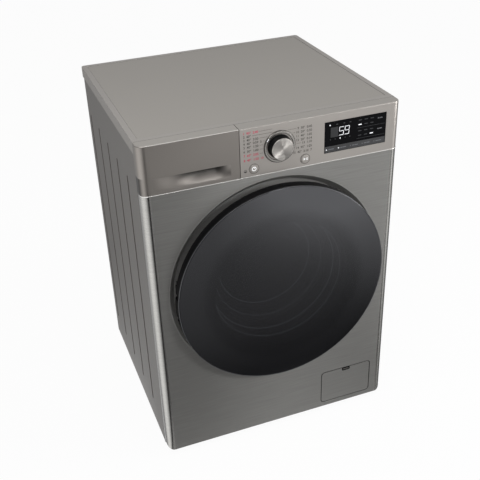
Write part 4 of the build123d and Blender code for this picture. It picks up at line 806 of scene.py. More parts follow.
def dress(nodes: Iterable[str], finish: Finish) -> None:
    """Gives CAD nodes that stay a finish.

    Args:
        nodes: The nodes' names.
        finish: Their finish.
    """
    for node in nodes:
        mesh = frame["nodes"][node].data
        mesh.materials.clear()
        mesh.materials.append(finish.material())
        LOG.info("%s: CAD node in %s", node, finish.name)


def revolve(
    bm: Mesh, points: Sequence[Point3], centre: Sequence[float], axis: Point3, steps: int, closed: bool = True,
    weld: float = WELD,
) -> None:
    """Spins a line of points by a full turn and welds the seam.

    Args:
        bm: The mesh to add to.
        points: The line.
        centre: A point of the axis.
        axis: The axis' direction.
        steps: Steps in the full turn.
        closed: Whether the line's end joins its start.
        weld: Points nearer than this become one.
    """
    verts = [bm.verts.new(point) for point in points]
    pairs = list(zip(verts, verts[1:] + verts[:1]))
    edges = [bm.edges.new(pair) for pair in (pairs if closed else pairs[:-1])]
    bmesh.ops.spin(bm, geom=verts + edges, cent=centre, axis=axis, angle=math.tau, steps=steps, use_merge=True)
    bmesh.ops.remove_doubles(bm, verts=bm.verts, dist=weld)
    bmesh.ops.recalc_face_normals(bm, faces=bm.faces)


def lathe(profile: Sequence[Point2], steps: int, closed: bool = True) -> Mesh:
    """Spins a profile about the drum's axis.

    Args:
        profile: Points as (radius, depth behind the front panel's face), in metres.
        steps: Steps in the full turn.
        closed: Whether the profile's end joins its start.

    Returns:
        The spun mesh.
    """
    bm = bmesh.new()
    revolve(bm, [(radius, FRONT + depth, AXIS.z) for radius, depth in profile], AXIS, (0, 1, 0), steps, closed)
    return bm


def thicken(bm: Mesh, sheet: List[bmesh.types.BMFace], shift: Point3, keep: bool = True) -> None:
    """Pulls a sheet of faces out into a slab.

    Args:
        bm: The mesh.
        sheet: The faces.
        shift: The slab's thickness, as a vector.
        keep: Whether Blender is told to keep the sheet as the slab's other side.
    """
    pulled = bmesh.ops.extrude_face_region(bm, geom=sheet, use_keep_orig=keep)["geom"]
    bmesh.ops.translate(bm, vec=shift, verts=[v for v in pulled if isinstance(v, bmesh.types.BMVert)])
    bmesh.ops.recalc_face_normals(bm, faces=bm.faces)


def crosswise(place: Sequence[float]) -> Matrix:
    """Sets a round form at a place, with its axis across the machine."""
    return Matrix.Translation(place) @ Matrix.Rotation(QUARTER, 4, "Y")


def rod(bm: Mesh, place: Sequence[float], radius: float, length: float, capped: bool) -> None:
    """Adds a thin rod that runs across the machine.

    Args:
        bm: The mesh to add to.
        place: The rod's middle.
        radius: Its radius.
        length: Its length.
        capped: Whether its ends are closed.
    """
    bmesh.ops.create_cone(
        bm, cap_ends=capped, segments=10, radius1=radius, radius2=radius, depth=length, matrix=crosswise(place)
    )


def block(bm: Mesh, middle: Sequence[float], size: Point3) -> List[bmesh.types.BMVert]:
    """Adds a box and returns its vertices."""
    matrix = Matrix.Translation(middle) @ Matrix.Diagonal((*size, 1.0))
    return bmesh.ops.create_cube(bm, size=1.0, matrix=matrix)["verts"]


def bar(bm: Mesh, x0: float, x1: float, z0: float, z1: float, depth: float = 0.0) -> List[bmesh.types.BMVert]:
    """Adds a thin upright plate that faces the front.

    Args:
        bm: The mesh to add to.
        x0: Left edge.
        x1: Right edge.
        z0: Lower edge.
        z1: Upper edge.
        depth: Depth of its back behind the front panel's face.

    Returns:
        Its vertices.
    """
    middle = ((x0 + x1) / 2, FRONT + depth - FILM / 2, (z0 + z1) / 2)
    return block(bm, middle, (abs(x1 - x0), FILM, abs(z1 - z0)))


def disc(bm: Mesh, x: float, z: float, radius: float, depth: float = 0.0, hole: float = 0.0, steps: int = 32) -> None:
    """Adds a thin disc or ring that faces the front.

    Args:
        bm: The mesh to add to.
        x: Its middle.
        z: Its middle.
        radius: Its outer radius.
        depth: Depth of its back behind the front panel's face.
        hole: Radius of its hole.
        steps: Steps in the full turn.
    """
    back = FRONT + depth
    corners = ((x + hole, back), (x + hole, back - FILM), (x + radius, back - FILM), (x + radius, back))
    revolve(bm, [(cx, cy, z) for cx, cy in corners], (x, 0, z), (0, 1, 0), steps, weld=WELD / 10)


def rounded_frame(
    bm: Mesh, low: Point2, high: Point2, corner: float, band: float, depth: float, thick: float = FILM
) -> None:
    """Adds a flat frame with rounded corners that faces the front.

    Args:
        bm: The mesh to add to.
        low: Its lower left corner, as (x, z).
        high: Its upper right corner.
        corner: Radius of its corners.
        band: Width of the frame, or 0 for a full plate.
        depth: Depth of its back behind the front panel's face.
        thick: Its thickness, towards the front.
    """
    places = ((low[0], low[1]), (high[0], low[1]), (high[0], high[1]), (low[0], high[1]))
    verts = [bm.verts.new((x, FRONT + depth, z)) for x, z in places]
    face = bm.faces.new(verts)
    before = set(bm.faces) - {face}
    bmesh.ops.bevel(
        bm, geom=verts, offset=corner, offset_type="OFFSET", affect="VERTICES", segments=6, profile=0.5, material=-1
    )
    middle = [f for f in bm.faces if f not in before]
    if band:
        bmesh.ops.inset_region(bm, faces=middle, thickness=band, use_boundary=True, use_even_offset=True)
        bmesh.ops.delete(bm, geom=middle, context="FACES")
    sheet = [f for f in bm.faces if f not in before]
    thicken(bm, sheet, (0, -thick, 0))


def digits(bm: Mesh, text: str, x: float, z: float, size: float, align: str, weight: float) -> float:
    """Adds printed digits that face the front.

    Args:
        bm: The mesh to add to.
        text: The digits.
        x: Left or right of the text, by align.
        z: Its baseline.
        size: Height of the type, in metres.
        align: LEFT or RIGHT.
        weight: How much fatter its strokes are, in metres.

    Returns:
        The text's width.
    """
    curve = bpy.data.curves.new("digits", "FONT")
    curve.body = text
    curve.size = size
    curve.align_x = align
    curve.offset = weight
    curve.resolution_u = 3
    holder = bpy.data.objects.new("digits", curve)
    mesh = bpy.data.meshes.new_from_object(holder)
    reach = [vertex.co.x for vertex in mesh.vertices]
    mesh.transform(Matrix.Translation((x, FRONT - FILM, z)) @ Matrix.Rotation(QUARTER, 4, "X"))
    bm.from_mesh(mesh)
    bpy.data.meshes.remove(mesh)
    bpy.data.objects.remove(holder)
    bpy.data.curves.remove(curve)
    return max(reach) - min(reach)


@dataclass
class Cabinet:
    """The outer case: side walls, back, base, worktop and steel front."""

    edge: float = 0.0006
    corner: float = 0.018
    bead: float = 0.0012
    # Depth of the black strip at each side seam, painted shade.
    gap: float = 0.0036
    joint: float = 0.0014

    def build(self) -> None:
        """Dresses the case's sheets and mouldings."""
        refine("cabinet_wrap", GREY_PAINT)
        refine("top_frame", GREY_RAIL, self.edge)
        refine("top_plate", GREY_TOP, self.edge)
        refine("front_panel", STEEL_FRONT)
        self.seam_bead()
        self.side_seam_shade()
        self.top_groove()
        self.front_joint()
        refine("rear_cover", ZINC)
        refine("base_tray", BLACK_SATIN)
        refine("transit_caps", BLACK_SATIN, self.edge)
        refine("cord_gland", BLACK_SATIN, self.edge)
        refine("rear_screws", PLAIN_STEEL, self.edge)
        for foot in ("foot_front_left", "foot_front_right", "foot_rear_left", "foot_rear_right"):
            refine(foot, BLACK_RUBBER, self.edge)

    def side_seam_shade(self) -> None:
        """A black strip down each side, where the steel front meets the side wall: the seam's own line, widened into
        painted shade.
        """
        low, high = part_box("front_panel")
        bm = bmesh.new()
        for side in (-1, 1):
            # Painted shade: a black strip deeper than the seam itself.
            middle = (side * (high.x - 0.00085), high.y + self.gap / 2, (low.z + high.z) / 2)
            block(bm, middle, (0.0004, self.gap, high.z - low.z - 0.012))
        publish("side_seam_shade", bm, BLACK_SATIN, Body.CABINET)

    def top_groove(self) -> None:
        """The hair-thin dark line round the worktop panel, where its surround begins."""
        low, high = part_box("top_plate")
        bm = bmesh.new()
        corners = ((low.x, low.y), (high.x, low.y), (high.x, high.y), (low.x, high.y))
        face = bm.faces.new([bm.verts.new((x, y, high.z)) for x, y in corners])
        # The face has no normal yet, so the inset has no width: what shows is a lip, a tenth of the joint high.
        bmesh.ops.inset_region(bm, faces=[face], thickness=self.joint, use_boundary=True, use_even_offset=True)
        bmesh.ops.delete(bm, geom=[face], context="FACES")
        thicken(bm, bm.faces[:], (0, 0, self.joint * 0.1))
        publish("top_groove", bm, JOINT_GREY, Body.CABINET)

    def front_joint(self) -> None:
        """The dark joint between the worktop's surround and the strip in front of it."""
        low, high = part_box("top_frame")
        front, depth, drop, clear = low.y - 0.00025, 0.00075, 0.00008, 0.003
        bm = bmesh.new()
        middle = (0, front + depth / 2, high.z - drop - self.joint / 2)
        block(bm, middle, (high.x - low.x - clear, depth, self.joint))
        publish("front_joint", bm, BLACK_SATIN, Body.CABINET)

    def seam_bead(self) -> None:
        """The rolled upper edge of the steel front under the fascia, in a paler copy of the steel: a painted
        highlight.
        """
        low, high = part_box("front_panel")
        corner, front, level = high.x - self.corner, low.y + self.bead * 0.4, high.z - self.bead * 0.3
        bm = bmesh.new()
        ring = bmesh.ops.create_circle(
            bm, cap_ends=True, segments=10, radius=self.bead, matrix=crosswise((-corner, front, level))
        )["verts"]
        left = ring[0].link_faces[0]
        right = bmesh.ops.duplicate(bm, geom=[left])["geom"][-1]
        bmesh.ops.translate(bm, vec=(2 * corner, 0, 0), verts=right.verts)
        for turn, start in ((-1, left), (1, right)):
            bmesh.ops.spin(
                bm, geom=list(start.verts) + list(start.edges) + [start], cent=(turn * corner, low.y + self.corner, 0),
                axis=(0, 0, 1), angle=turn * QUARTER, steps=10, use_merge=False,
            )
        rod(bm, (0, front, level), self.bead, 2 * corner, False)
        for vert in bm.verts:
            vert.co.x = max(low.x + 0.00002, min(high.x - 0.00002, vert.co.x))
        bmesh.ops.recalc_face_normals(bm, faces=bm.faces)
        publish("seam_bead", bm, PALE_HIGHLIGHT, Body.CABINET, (), FINE)


@dataclass
class Fascia:
    """The control fascia: knob, buttons and printed marks."""

    knob_x: float = 0.0085
    knob_z: float = 0.796
    ring: float = 0.036
    type_size: float = 0.0072
    type_weight: float = 0.00012
    button_z: float = 0.7555
    lamp_radius: float = 0.0338
    lamp_turn: float = 145.0
    spacing: float = 0.0595
    rows_right: Tuple[Tuple[str, float], ...] = (
        ("9  30\u00b0  0:45", 0.8300), ("10  20\u00b0  0:50", 0.8210), ("11  40\u00b0  1:05", 0.8120),
        ("12  20\u00b0  0:14", 0.8030), ("13  1:10", 0.7950), ("14  95\u00b0  1:25", 0.7850),
        ("15  40\u00b0  2:10  7", 0.7750),
    )
    rows_left: Tuple[Tuple[str, float], ...] = (
        ("1  90\u00b0  2:40", 0.8387), ("2  60\u00b0", 0.8314), ("3  40\u00b0  3:20", 0.8234),
        ("4  40\u00b0  0:59  5", 0.8153), ("5  40\u00b0  1:20", 0.8069), ("6  30\u00b0  1:00", 0.7978),
        ("7  60\u00b0  2:05", 0.7884), ("8  40\u00b0  1:50  10", 0.7776),
    )
    red_rows: Tuple[int, ...] = (0, 6, 7)

    def build(self) -> None:
        """Dresses the fascia and prints its marks."""
        refine("control_fascia", GREY_FASCIA, 0.0005)
        refine("knob_bezel", BEZEL_GREY, 0.0012)
        refine("program_knob", BLACK_GLOSS, 0.0005)
        spun = SpunMetal("spun_cap", Slot.SPUN_METAL, srgb(196, 192, 187), (self.knob_x, self.knob_z))
        refine("knob_cap", spun, 0.0004)
        refine("power_button", GREY_FASCIA, 0.0004)
        refine("start_button", GREY_FASCIA, 0.0004)
        self.ring_gaps()
        self.ring_lamp()
        self.print_program_marks()
        self.print_button_marks()

    def ring_gaps(self) -> None:
        """The dark gaps round the bezel and the two buttons."""
        gaps = bmesh.new()
        disc(gaps, self.knob_x, self.knob_z, self.ring + 0.0009, 0.0, self.ring - 0.0002, 72)
        for side in (-1, 1):
            disc(gaps, self.knob_x + side * self.spacing, self.button_z, 0.0117, 0.0, 0.0109, 48)
        publish("ring_gaps", gaps, INK_DARK, Body.CABINET)

    def ring_lamp(self) -> None:
        """The lit bar on the bezel, beside the program that is chosen."""
        half, long, proud = 0.0008, 0.0033, -0.0025
        x, z = self.knob_x + self.lamp_radius, self.knob_z
        lamp = bmesh.new()
        verts = bar(lamp, x - half, x + half, z - long, z + long, proud)
        turn = Matrix.Rotation(-math.radians(self.lamp_turn), 3, "Y")
        bmesh.ops.rotate(lamp, cent=(self.knob_x, 0, z), matrix=turn, verts=verts)
        publish("ring_lamp", lamp, INK_LIT, Body.CABINET)

    def print_program_marks(self) -> None:
        """Numbers beside the knob, with a leader line from each to its ring."""
        dark = bmesh.new()
        red = bmesh.new()
        columns = ((1, self.rows_right, 0.0838, "RIGHT"), (-1, self.rows_left, -0.0738, "LEFT"))
        for side, rows, edge, align in columns:
            for i, (label, z) in enumerate(rows):
                ink = red if side < 0 and i in self.red_rows else dark
                base = z - self.type_size * 0.36
                width = digits(ink, label, edge, base, self.type_size, align, self.type_weight)
                self.leader(dark, side, edge - side * (width + 0.003), z)
        disc(dark, -0.0707, 0.7527, 0.0034, 0.0, 0.0026)
        rounded_frame(dark, (-0.0731, 0.7497), (-0.0683, 0.7527), 0.0006, 0.0, 0.0, 0.0002)
        publish("program_marks", dark, INK_DARK, Body.CABINET)
        publish("program_marks_red", red, INK_RED, Body.CABINET)

    def leader(self, bm: Mesh, side: int, outer: float, z: float) -> None:
        """A hair line from a label to the knob's ring.

        Args:
            bm: The mesh to add to.
            side: 1 for a label at the right, -1 at the left.
            outer: The line's end at the label.
            z: Its height.
        """
        reach = max(0.0, (self.ring + 0.003) ** 2 - (z - self.knob_z) ** 2) ** 0.5
        inner = self.knob_x + side * max(reach, 0.016)
        if side * (outer - inner) > 0.001:
            bar(bm, min(inner, outer), max(inner, outer), z - 0.0003, z + 0.0003)

    def print_button_marks(self) -> None:
        """A power mark and a start mark on the two buttons."""
        depth, z = -0.0010, self.button_z
        left, right = self.knob_x - self.spacing, self.knob_x + self.spacing
        power = bmesh.new()
        disc(power, left, z, 0.0052, depth, 0.0034)
        bar(power, left - 0.0007, left + 0.0007, z, z + 0.0052, depth)
        publish("power_mark", power, INK_WHITE, Body.POWER)
        start = bmesh.new()
        bmesh.ops.create_cone(
            start, cap_ends=True, segments=3, radius1=0.0036, radius2=0.0036, depth=FILM,
            matrix=Matrix.Translation((right - 0.002, FRONT + depth - FILM / 2, z))
            @ Matrix.Rotation(QUARTER, 4, "X") @ Matrix.Rotation(-QUARTER, 4, "Z"),
        )
        for shift in (0.0026, 0.0048):
            bar(start, right + shift, right + shift + 0.0011, z - 0.003, z + 0.003, depth)
        publish("start_mark", start, INK_WHITE, Body.START)


@dataclass
class Display:
    """The dark display window with its lit figures and touch keys."""

    left: float = 0.114
    right: float = 0.264
    low: float = 0.7585
    strip_top: float = 0.7735
    figure_height: float = 0.0195
    figure_width: float = 0.0112
    stroke: float = 0.0011
    shown: str = "59"
    segments: Dict[str, str] = field(default_factory=lambda: {"5": "afgcd", "9": "abcdfg"})

    def build(self) -> None:
        """Makes the window, the key strip and the figures."""
        refine("display_window", DISPLAY_GLASS, 0.0004)
        strip = bmesh.new()
        bar(strip, self.left + 0.0008, self.right - 0.0008, self.low + 0.0008, self.strip_top)
        publish("key_strip", strip, KEY_STRIP, Body.CABINET)
        self.light_figures()
        self.light_marks()

    def light_figures(self) -> None:
        """Two slanted seven-segment figures."""
        lit = bmesh.new()
        base = 0.7955
        for i, figure in enumerate(self.shown):
            x = 0.1482 + i * (self.figure_width + 0.0022)
            for name in self.segments[figure]:
                self.segment(lit, name, x, base)
        slant = Matrix.Identity(4)
        slant[0][2] = 0.06
        centre = Matrix.Translation((0.16, 0, base))
        bmesh.ops.transform(lit, matrix=centre @ slant @ centre.inverted(), verts=lit.verts)
        publish("display_figures", lit, INK_LIT, Body.CABINET)

    def segment(self, bm: Mesh, name: str, x: float, z: float) -> None:
        """One bar of a figure, by its usual letter.

        Args:
            bm: The mesh to add to.
            name: The bar's letter, a to g.
            x: Left of the figure.
            z: Foot of the figure.
        """
        w, h, s, gap = self.figure_width, self.figure_height, self.stroke, 0.0004
        level = {"a": h - s, "g": (h - s) / 2, "d": 0.0}
        if name in level:
            verts = bar(bm, x + gap, x + w - gap, z + level[name], z + level[name] + s)
        else:
            left = x if name in "ef" else x + w - s
            low = z + gap if name in "ec" else z + h / 2 + gap
            verts = bar(bm, left, left + s, low + s * 0.2, low + h / 2 - 2 * gap - s * 0.2)
        edges = {e for v in verts for e in v.link_edges}
        upright = [e for e in edges if abs((e.verts[0].co - e.verts[1].co).normalized().y) > 0.9]
        bmesh.ops.bevel(
            bm, geom=upright, offset=s * 0.35, offset_type="OFFSET", affect="EDGES", segments=1, profile=0.5,
            material=-1,
        )

    def light_marks(self) -> None:
        """Plain dots, bars and symbols round the figures and on the keys."""
        lit, middling, dim, pale = (bmesh.new() for _ in range(4))
        bar(pale, 0.1285, 0.1465, 0.7935, 0.8165)
        disc(lit, 0.1265, 0.8225, 0.0014)
        for x in (0.1415, 0.1585, 0.1735):
            bar(dim, x, x + 0.004, 0.8215, 0.8235)
        for i, x in enumerate((0.1282, 0.1396, 0.1517, 0.1637, 0.1752)):
            disc(lit if i == 2 else dim, x, 0.7888, 0.0014 if i == 2 else 0.0012)
        for column, x in enumerate((0.1955, 0.2100, 0.2245)):
            for i, z in enumerate((0.8215, 0.8110, 0.7965, 0.7860)):
                ink = lit if (column, i) in ((0, 1), (2, 3)) else dim
                bar(ink, x, x + 0.0078, z, z + (0.0021 if ink is lit else 0.0018))
        for z in (0.8185, 0.7935):
            for start, end in ((0.2425, 0.2465), (0.2475, 0.2540)):
                bar(middling, start, end, z, z + 0.0022)
        for z in (0.8045, 0.7795):
            bar(dim, 0.1925, 0.2610, z, z + 0.0006)
        for i in range(5):
            x = self.left + 0.005 + i * 0.0292
            disc(lit if i < 2 else middling, x, 0.7662, 0.0013, -FILM)
            for start, end in ((0.0045, 0.0105), (0.0112, 0.0185)):
                bar(middling, x + start, x + end, 0.7651, 0.7673, -FILM)
            if i:
                bar(pale, x - 0.0052, x - 0.0046, 0.7610, 0.7715, -FILM)
        publish("display_middling_marks", middling, INK_MID, Body.CABINET)
        publish("display_lit_marks", lit, INK_LIT, Body.CABINET)
        publish("display_dim_marks", dim, INK_DIM, Body.CABINET)
        publish("display_pale_field", pale, INK_PALE, Body.CABINET)


@dataclass
class Drawer:
    """The detergent drawer and the housing that it slides in."""

    left: float = -0.273
    right: float = -0.103
    bottom: float = 0.746
    top: float = 0.776
    depth: float = 0.0132
    lead: float = 0.102
    round_end: float = 0.034
    corner: float = 0.018
    edge: float = 0.0006

    def build(self) -> None:
        """Dresses the drawer's front, tray and housing."""
        # The drawer's grey is a darker copy of the fascia's: painted shade.
        refine("drawer_front", SHADED_GREY_DRAWER, 0.0005)
        self.scoop()
        self.edge_line()
        refine("drawer_tray", WHITE_PLASTIC, 0.0004)
        refine("siphon_cap", BLUE_PLASTIC, 0.0003)
        refine("dispenser_housing", WHITE_PLASTIC)

    def edge_line(self) -> None:
        """The upper edge of the drawer's front, in a paler copy of its grey: a painted highlight."""
        low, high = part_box("drawer_front")
        start = low.x + self.corner
        middle = ((start + high.x) / 2, low.y + self.edge * 0.7, high.z - self.edge * 1.1)
        bm = bmesh.new()
        rod(bm, middle, self.edge, high.x - start, True)
        publish("drawer_edge_highlight", bm, SOFT_HIGHLIGHT, Body.DRAWER, (), FINE)

    def hollow(self, x: float, z: float) -> float:
        """How deep the finger scoop is at a place: soft at either end and below, full under its upper edge.

        Args:
            x: The place, across.
            z: The place, upwards.

        Returns:
            The depth behind the front.
        """
        def share(value: float) -> float:
            """A value held between 0 and 1."""
            return min(1.0, max(0.0, value))
        run = share((x - self.left) / self.lead)
        end = share((x - self.right + self.round_end) / self.round_end)
        rise = share((z - self.bottom) / (self.top - self.bottom))
        ease = run * run * (3 - 2 * run)
        return self.depth * ease * math.cos(end * QUARTER) * math.sin(rise * QUARTER) ** 1.3

    def scoop(self) -> None:
        """Lays a smooth skin in the finger scoop, so that it runs out into the front without a crease."""
        across, up, lap = 96, 28, 0.0008
        bm = bmesh.new()
        grid = bmesh.ops.create_grid(bm, x_segments=across, y_segments=up, size=0.5)["verts"]
        for vert in grid:
            x = self.left - lap + (vert.co.x + 0.5) * (self.right - self.left + lap)
            z = self.bottom - lap + (vert.co.y + 0.5) * (self.top - self.bottom + lap - 0.0001)
            vert.co = (x, FRONT - 0.00006 + self.hollow(x, z), z)
        thicken(bm, bm.faces[:], (0, 0.0003, 0), False)
        # Painted shade, darkest deep in the scoop.
        publish("drawer_scoop", bm, SHADED_GREY_DRAWER, Body.DRAWER, (), 80.0)


@dataclass
class Door:
    """The round door: domed cover, ring, bowl and hinge."""

    radius: float = 0.252
    rim: float = -0.041
    crown: float = 0.009
    thick: float = 0.004
    seat: float = 0.030
    # Beads on the bowl glass that glow: painted glints on its moulded steps.
    bowl_glints: Tuple[Tuple[str, float, float, float], ...] = (
        ("bowl_rim_line", 0.1592, -0.0050, 0.0009), ("bowl_step_line", 0.1552, 0.0215, 0.0010),
        ("bowl_wall_line", 0.1362, 0.0505, 0.0007), ("bowl_end_line", 0.1172, 0.0785, 0.0009),
    )

    def build(self) -> None:
        """Makes the cover and dresses the rest."""
        self.cover()
        # A lighter grey bead at the cover's edge: partly its ground edge, partly a painted highlight.
        self.rim_line("cover_edge_line", self.radius - 0.0001, self.rim + 0.0006, 0.0006, RIM_HIGHLIGHT_GREY)
        for name, radius, depth, half in self.bowl_glints:
            self.rim_line(name, radius, depth, half, BOWL_GLINT)
        refine("door_frame", RING_BLACK, 0.0006)
        refine("door_retainer", BLACK_SATIN, 0.0006)
        refine("door_bowl", BOWL_GLASS)
        refine("door_hook", PLAIN_STEEL, 0.0005)
        refine("door_hinge", DARK_ALLOY, 0.0005)

    def rim_line(self, name: str, radius: float, depth: float, half: float, finish: Finish) -> None:
        """A thin round bead about the door's axis, where a moulded edge would catch the light; its lighter or glowing
        finish is a painted highlight.

        Args:
            name: The piece's name.
            radius: The bead's distance from the axis.
            depth: Its depth behind the front panel's face.
            half: Its own radius.
            finish: Its finish.
        """
        turns = [math.tau * i / 8 for i in range(8)]
        bead = [(radius + half * math.cos(t), depth + half * math.sin(t)) for t in turns]
        publish(name, lathe(bead, 192, True), finish, Body.DOOR, (), FINE)

    def cover(self) -> None:
        """Spins the cover: a shallow dome with a rounded rim and a flat seat behind."""
        def arc(radius: float, rise: float, top: float, count: int) -> List[Point2]:
            """Points of a shallow cap, from its middle out.

            Args:
                radius: The cap's radius.
                rise: Its height.
                top: Depth of its middle.
                count: Steps from the middle out.

            Returns:
                The points, as (radius, depth).
            """
            ball = (radius**2 + rise**2) / (2 * rise)
            steps = [(radius - 0.0016) * i / count for i in range(count + 1)] + [radius]
            return [(r, top + ball - math.sqrt(ball**2 - r**2)) for r in steps]
        front = arc(self.radius - 0.0012, self.crown - 0.0001, self.rim - self.crown, 28)
        edge = [
            (self.radius - 0.0004, self.rim + 0.0003), (self.radius, self.rim + 0.0010),
            (self.radius, self.rim + self.thick),
        ]
        back = arc(self.radius - self.seat, self.crown - 0.001, self.rim + self.thick - self.crown + 0.001, 20)
        bm = lathe(front + edge + list(reversed(back)), 192, False)
        publish("door_cover_dressed", bm, SMOKED, Body.DOOR, ["door_cover"], 50.0)


@dataclass
class Gasket:
    """The rubber bellows between the front panel and the tub."""

    wall: float = 0.0035
    line: Tuple[Point2, ...] = (
        (0.1810, 0.020), (0.1810, 0.032), (0.1770, 0.0365), (0.1735, 0.039), (0.1730, 0.048), (0.1755, 0.0535),
        (0.1880, 0.0565), (0.1945, 0.0600), (0.1950, 0.0690), (0.1920, 0.0755), (0.1860, 0.0800), (0.1842, 0.086),
        (0.1842, 0.1015),
    )
    lip: Tuple[Point2, ...] = ((0.1765, 0.0375), (0.1690, 0.0372), (0.1610, 0.0352))

    def build(self) -> None:
        """Spins the fold and the sealing lip."""
        bm = self.skin(self.line)
        other = self.skin(self.lip)
        mesh = bpy.data.meshes.new("lip")
        other.to_mesh(mesh)
        other.free()
        bm.from_mesh(mesh)
        bpy.data.meshes.remove(mesh)
        piece = publish("gasket_dressed", bm, GREY_RUBBER, None, ["gasket"], FINE)
        soften = piece.modifiers.new("soft", "SUBSURF")
        soften.levels = soften.render_levels = 1
        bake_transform(piece)

    def skin(self, line: Sequence[Point2]) -> Mesh:
        """A wall of even thickness along a line, spun about the axis.

        Args:
            line: Points as (radius, depth), along the wall's middle.

        Returns:
            The spun wall.
        """
        half = self.wall / 2
        left: List[Point2] = []
        right: List[Point2] = []
        for i, (r, d) in enumerate(line):
            before = Vector(line[max(i - 1, 0)])
            after = Vector(line[min(i + 1, len(line) - 1)])
            along = (after - before).normalized()
            left.append((r - along.y * half, d + along.x * half))
            right.append((r + along.y * half, d - along.x * half))
        return lathe(left + list(reversed(right)), 96, True)


@dataclass
class Drum:
    """The drum, what turns with it, and the tub round it."""

    def build(self) -> None:
        """Dresses drum, tub and motor."""
        refine("drum_shell", DRUM_STEEL)
        refine("drum_back", STEEL_BRIGHT)
        refine("drum_lifters", WHITE_PLASTIC, 0.002)
        dress(["drum_spider"], CAST_ALLOY)
        dress(["rotor", "stator", "bearings", "heater"], PLAIN_STEEL)
        dress(["tub_front", "tub_rear"], TUB_PLASTIC)
        dress(["counterweights"], CAST_GREY)


@dataclass
class Suspension:
    """Springs and dampers."""

    x: float = 0.262
    y: float = FRONT + 0.330
    top: float = 0.790
    bottom: float = 0.615
    radius: float = 0.013
    wire: float = 0.002
    turns: int = 18
    steps: int = 24

    def build(self) -> None:
        """Winds the springs and dresses the rest."""
        bm = bmesh.new()
        for side in (-1, 1):
            self.wind(bm, side * self.x)
        bmesh.ops.recalc_face_normals(bm, faces=bm.faces)
        piece = publish("springs_dressed", bm, PLAIN_STEEL, None, ["springs"], FINE)
        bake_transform(piece)
        dress(["spring_hangers"], ZINC)
        dress(["damper_rods"], PLAIN_STEEL)
        dress(["damper_cylinders"], BLACK_SATIN)

    def wind(self, bm: Mesh, x: float) -> None:
        """Spins a small circle up a helix.

        Args:
            bm: The mesh to add to.
            x: The spring's axis.
        """
        start = Matrix.Translation((x + self.radius, self.y, self.bottom + self.wire))
        circle = bmesh.ops.create_circle(
            bm, cap_ends=False, segments=8, radius=self.wire, matrix=start @ Matrix.Rotation(QUARTER, 4, "X")
        )["verts"]
        edges = list({e for v in circle for e in v.link_edges})
        count = self.turns * self.steps
        rise = (self.top - self.bottom - 2 * self.wire) / count
        bmesh.ops.spin(
            bm, geom=circle + edges, cent=(x, self.y, 0), axis=(0, 0, 1), dvec=(0, 0, rise),
            angle=math.tau * self.turns, steps=count, use_merge=False,
        )


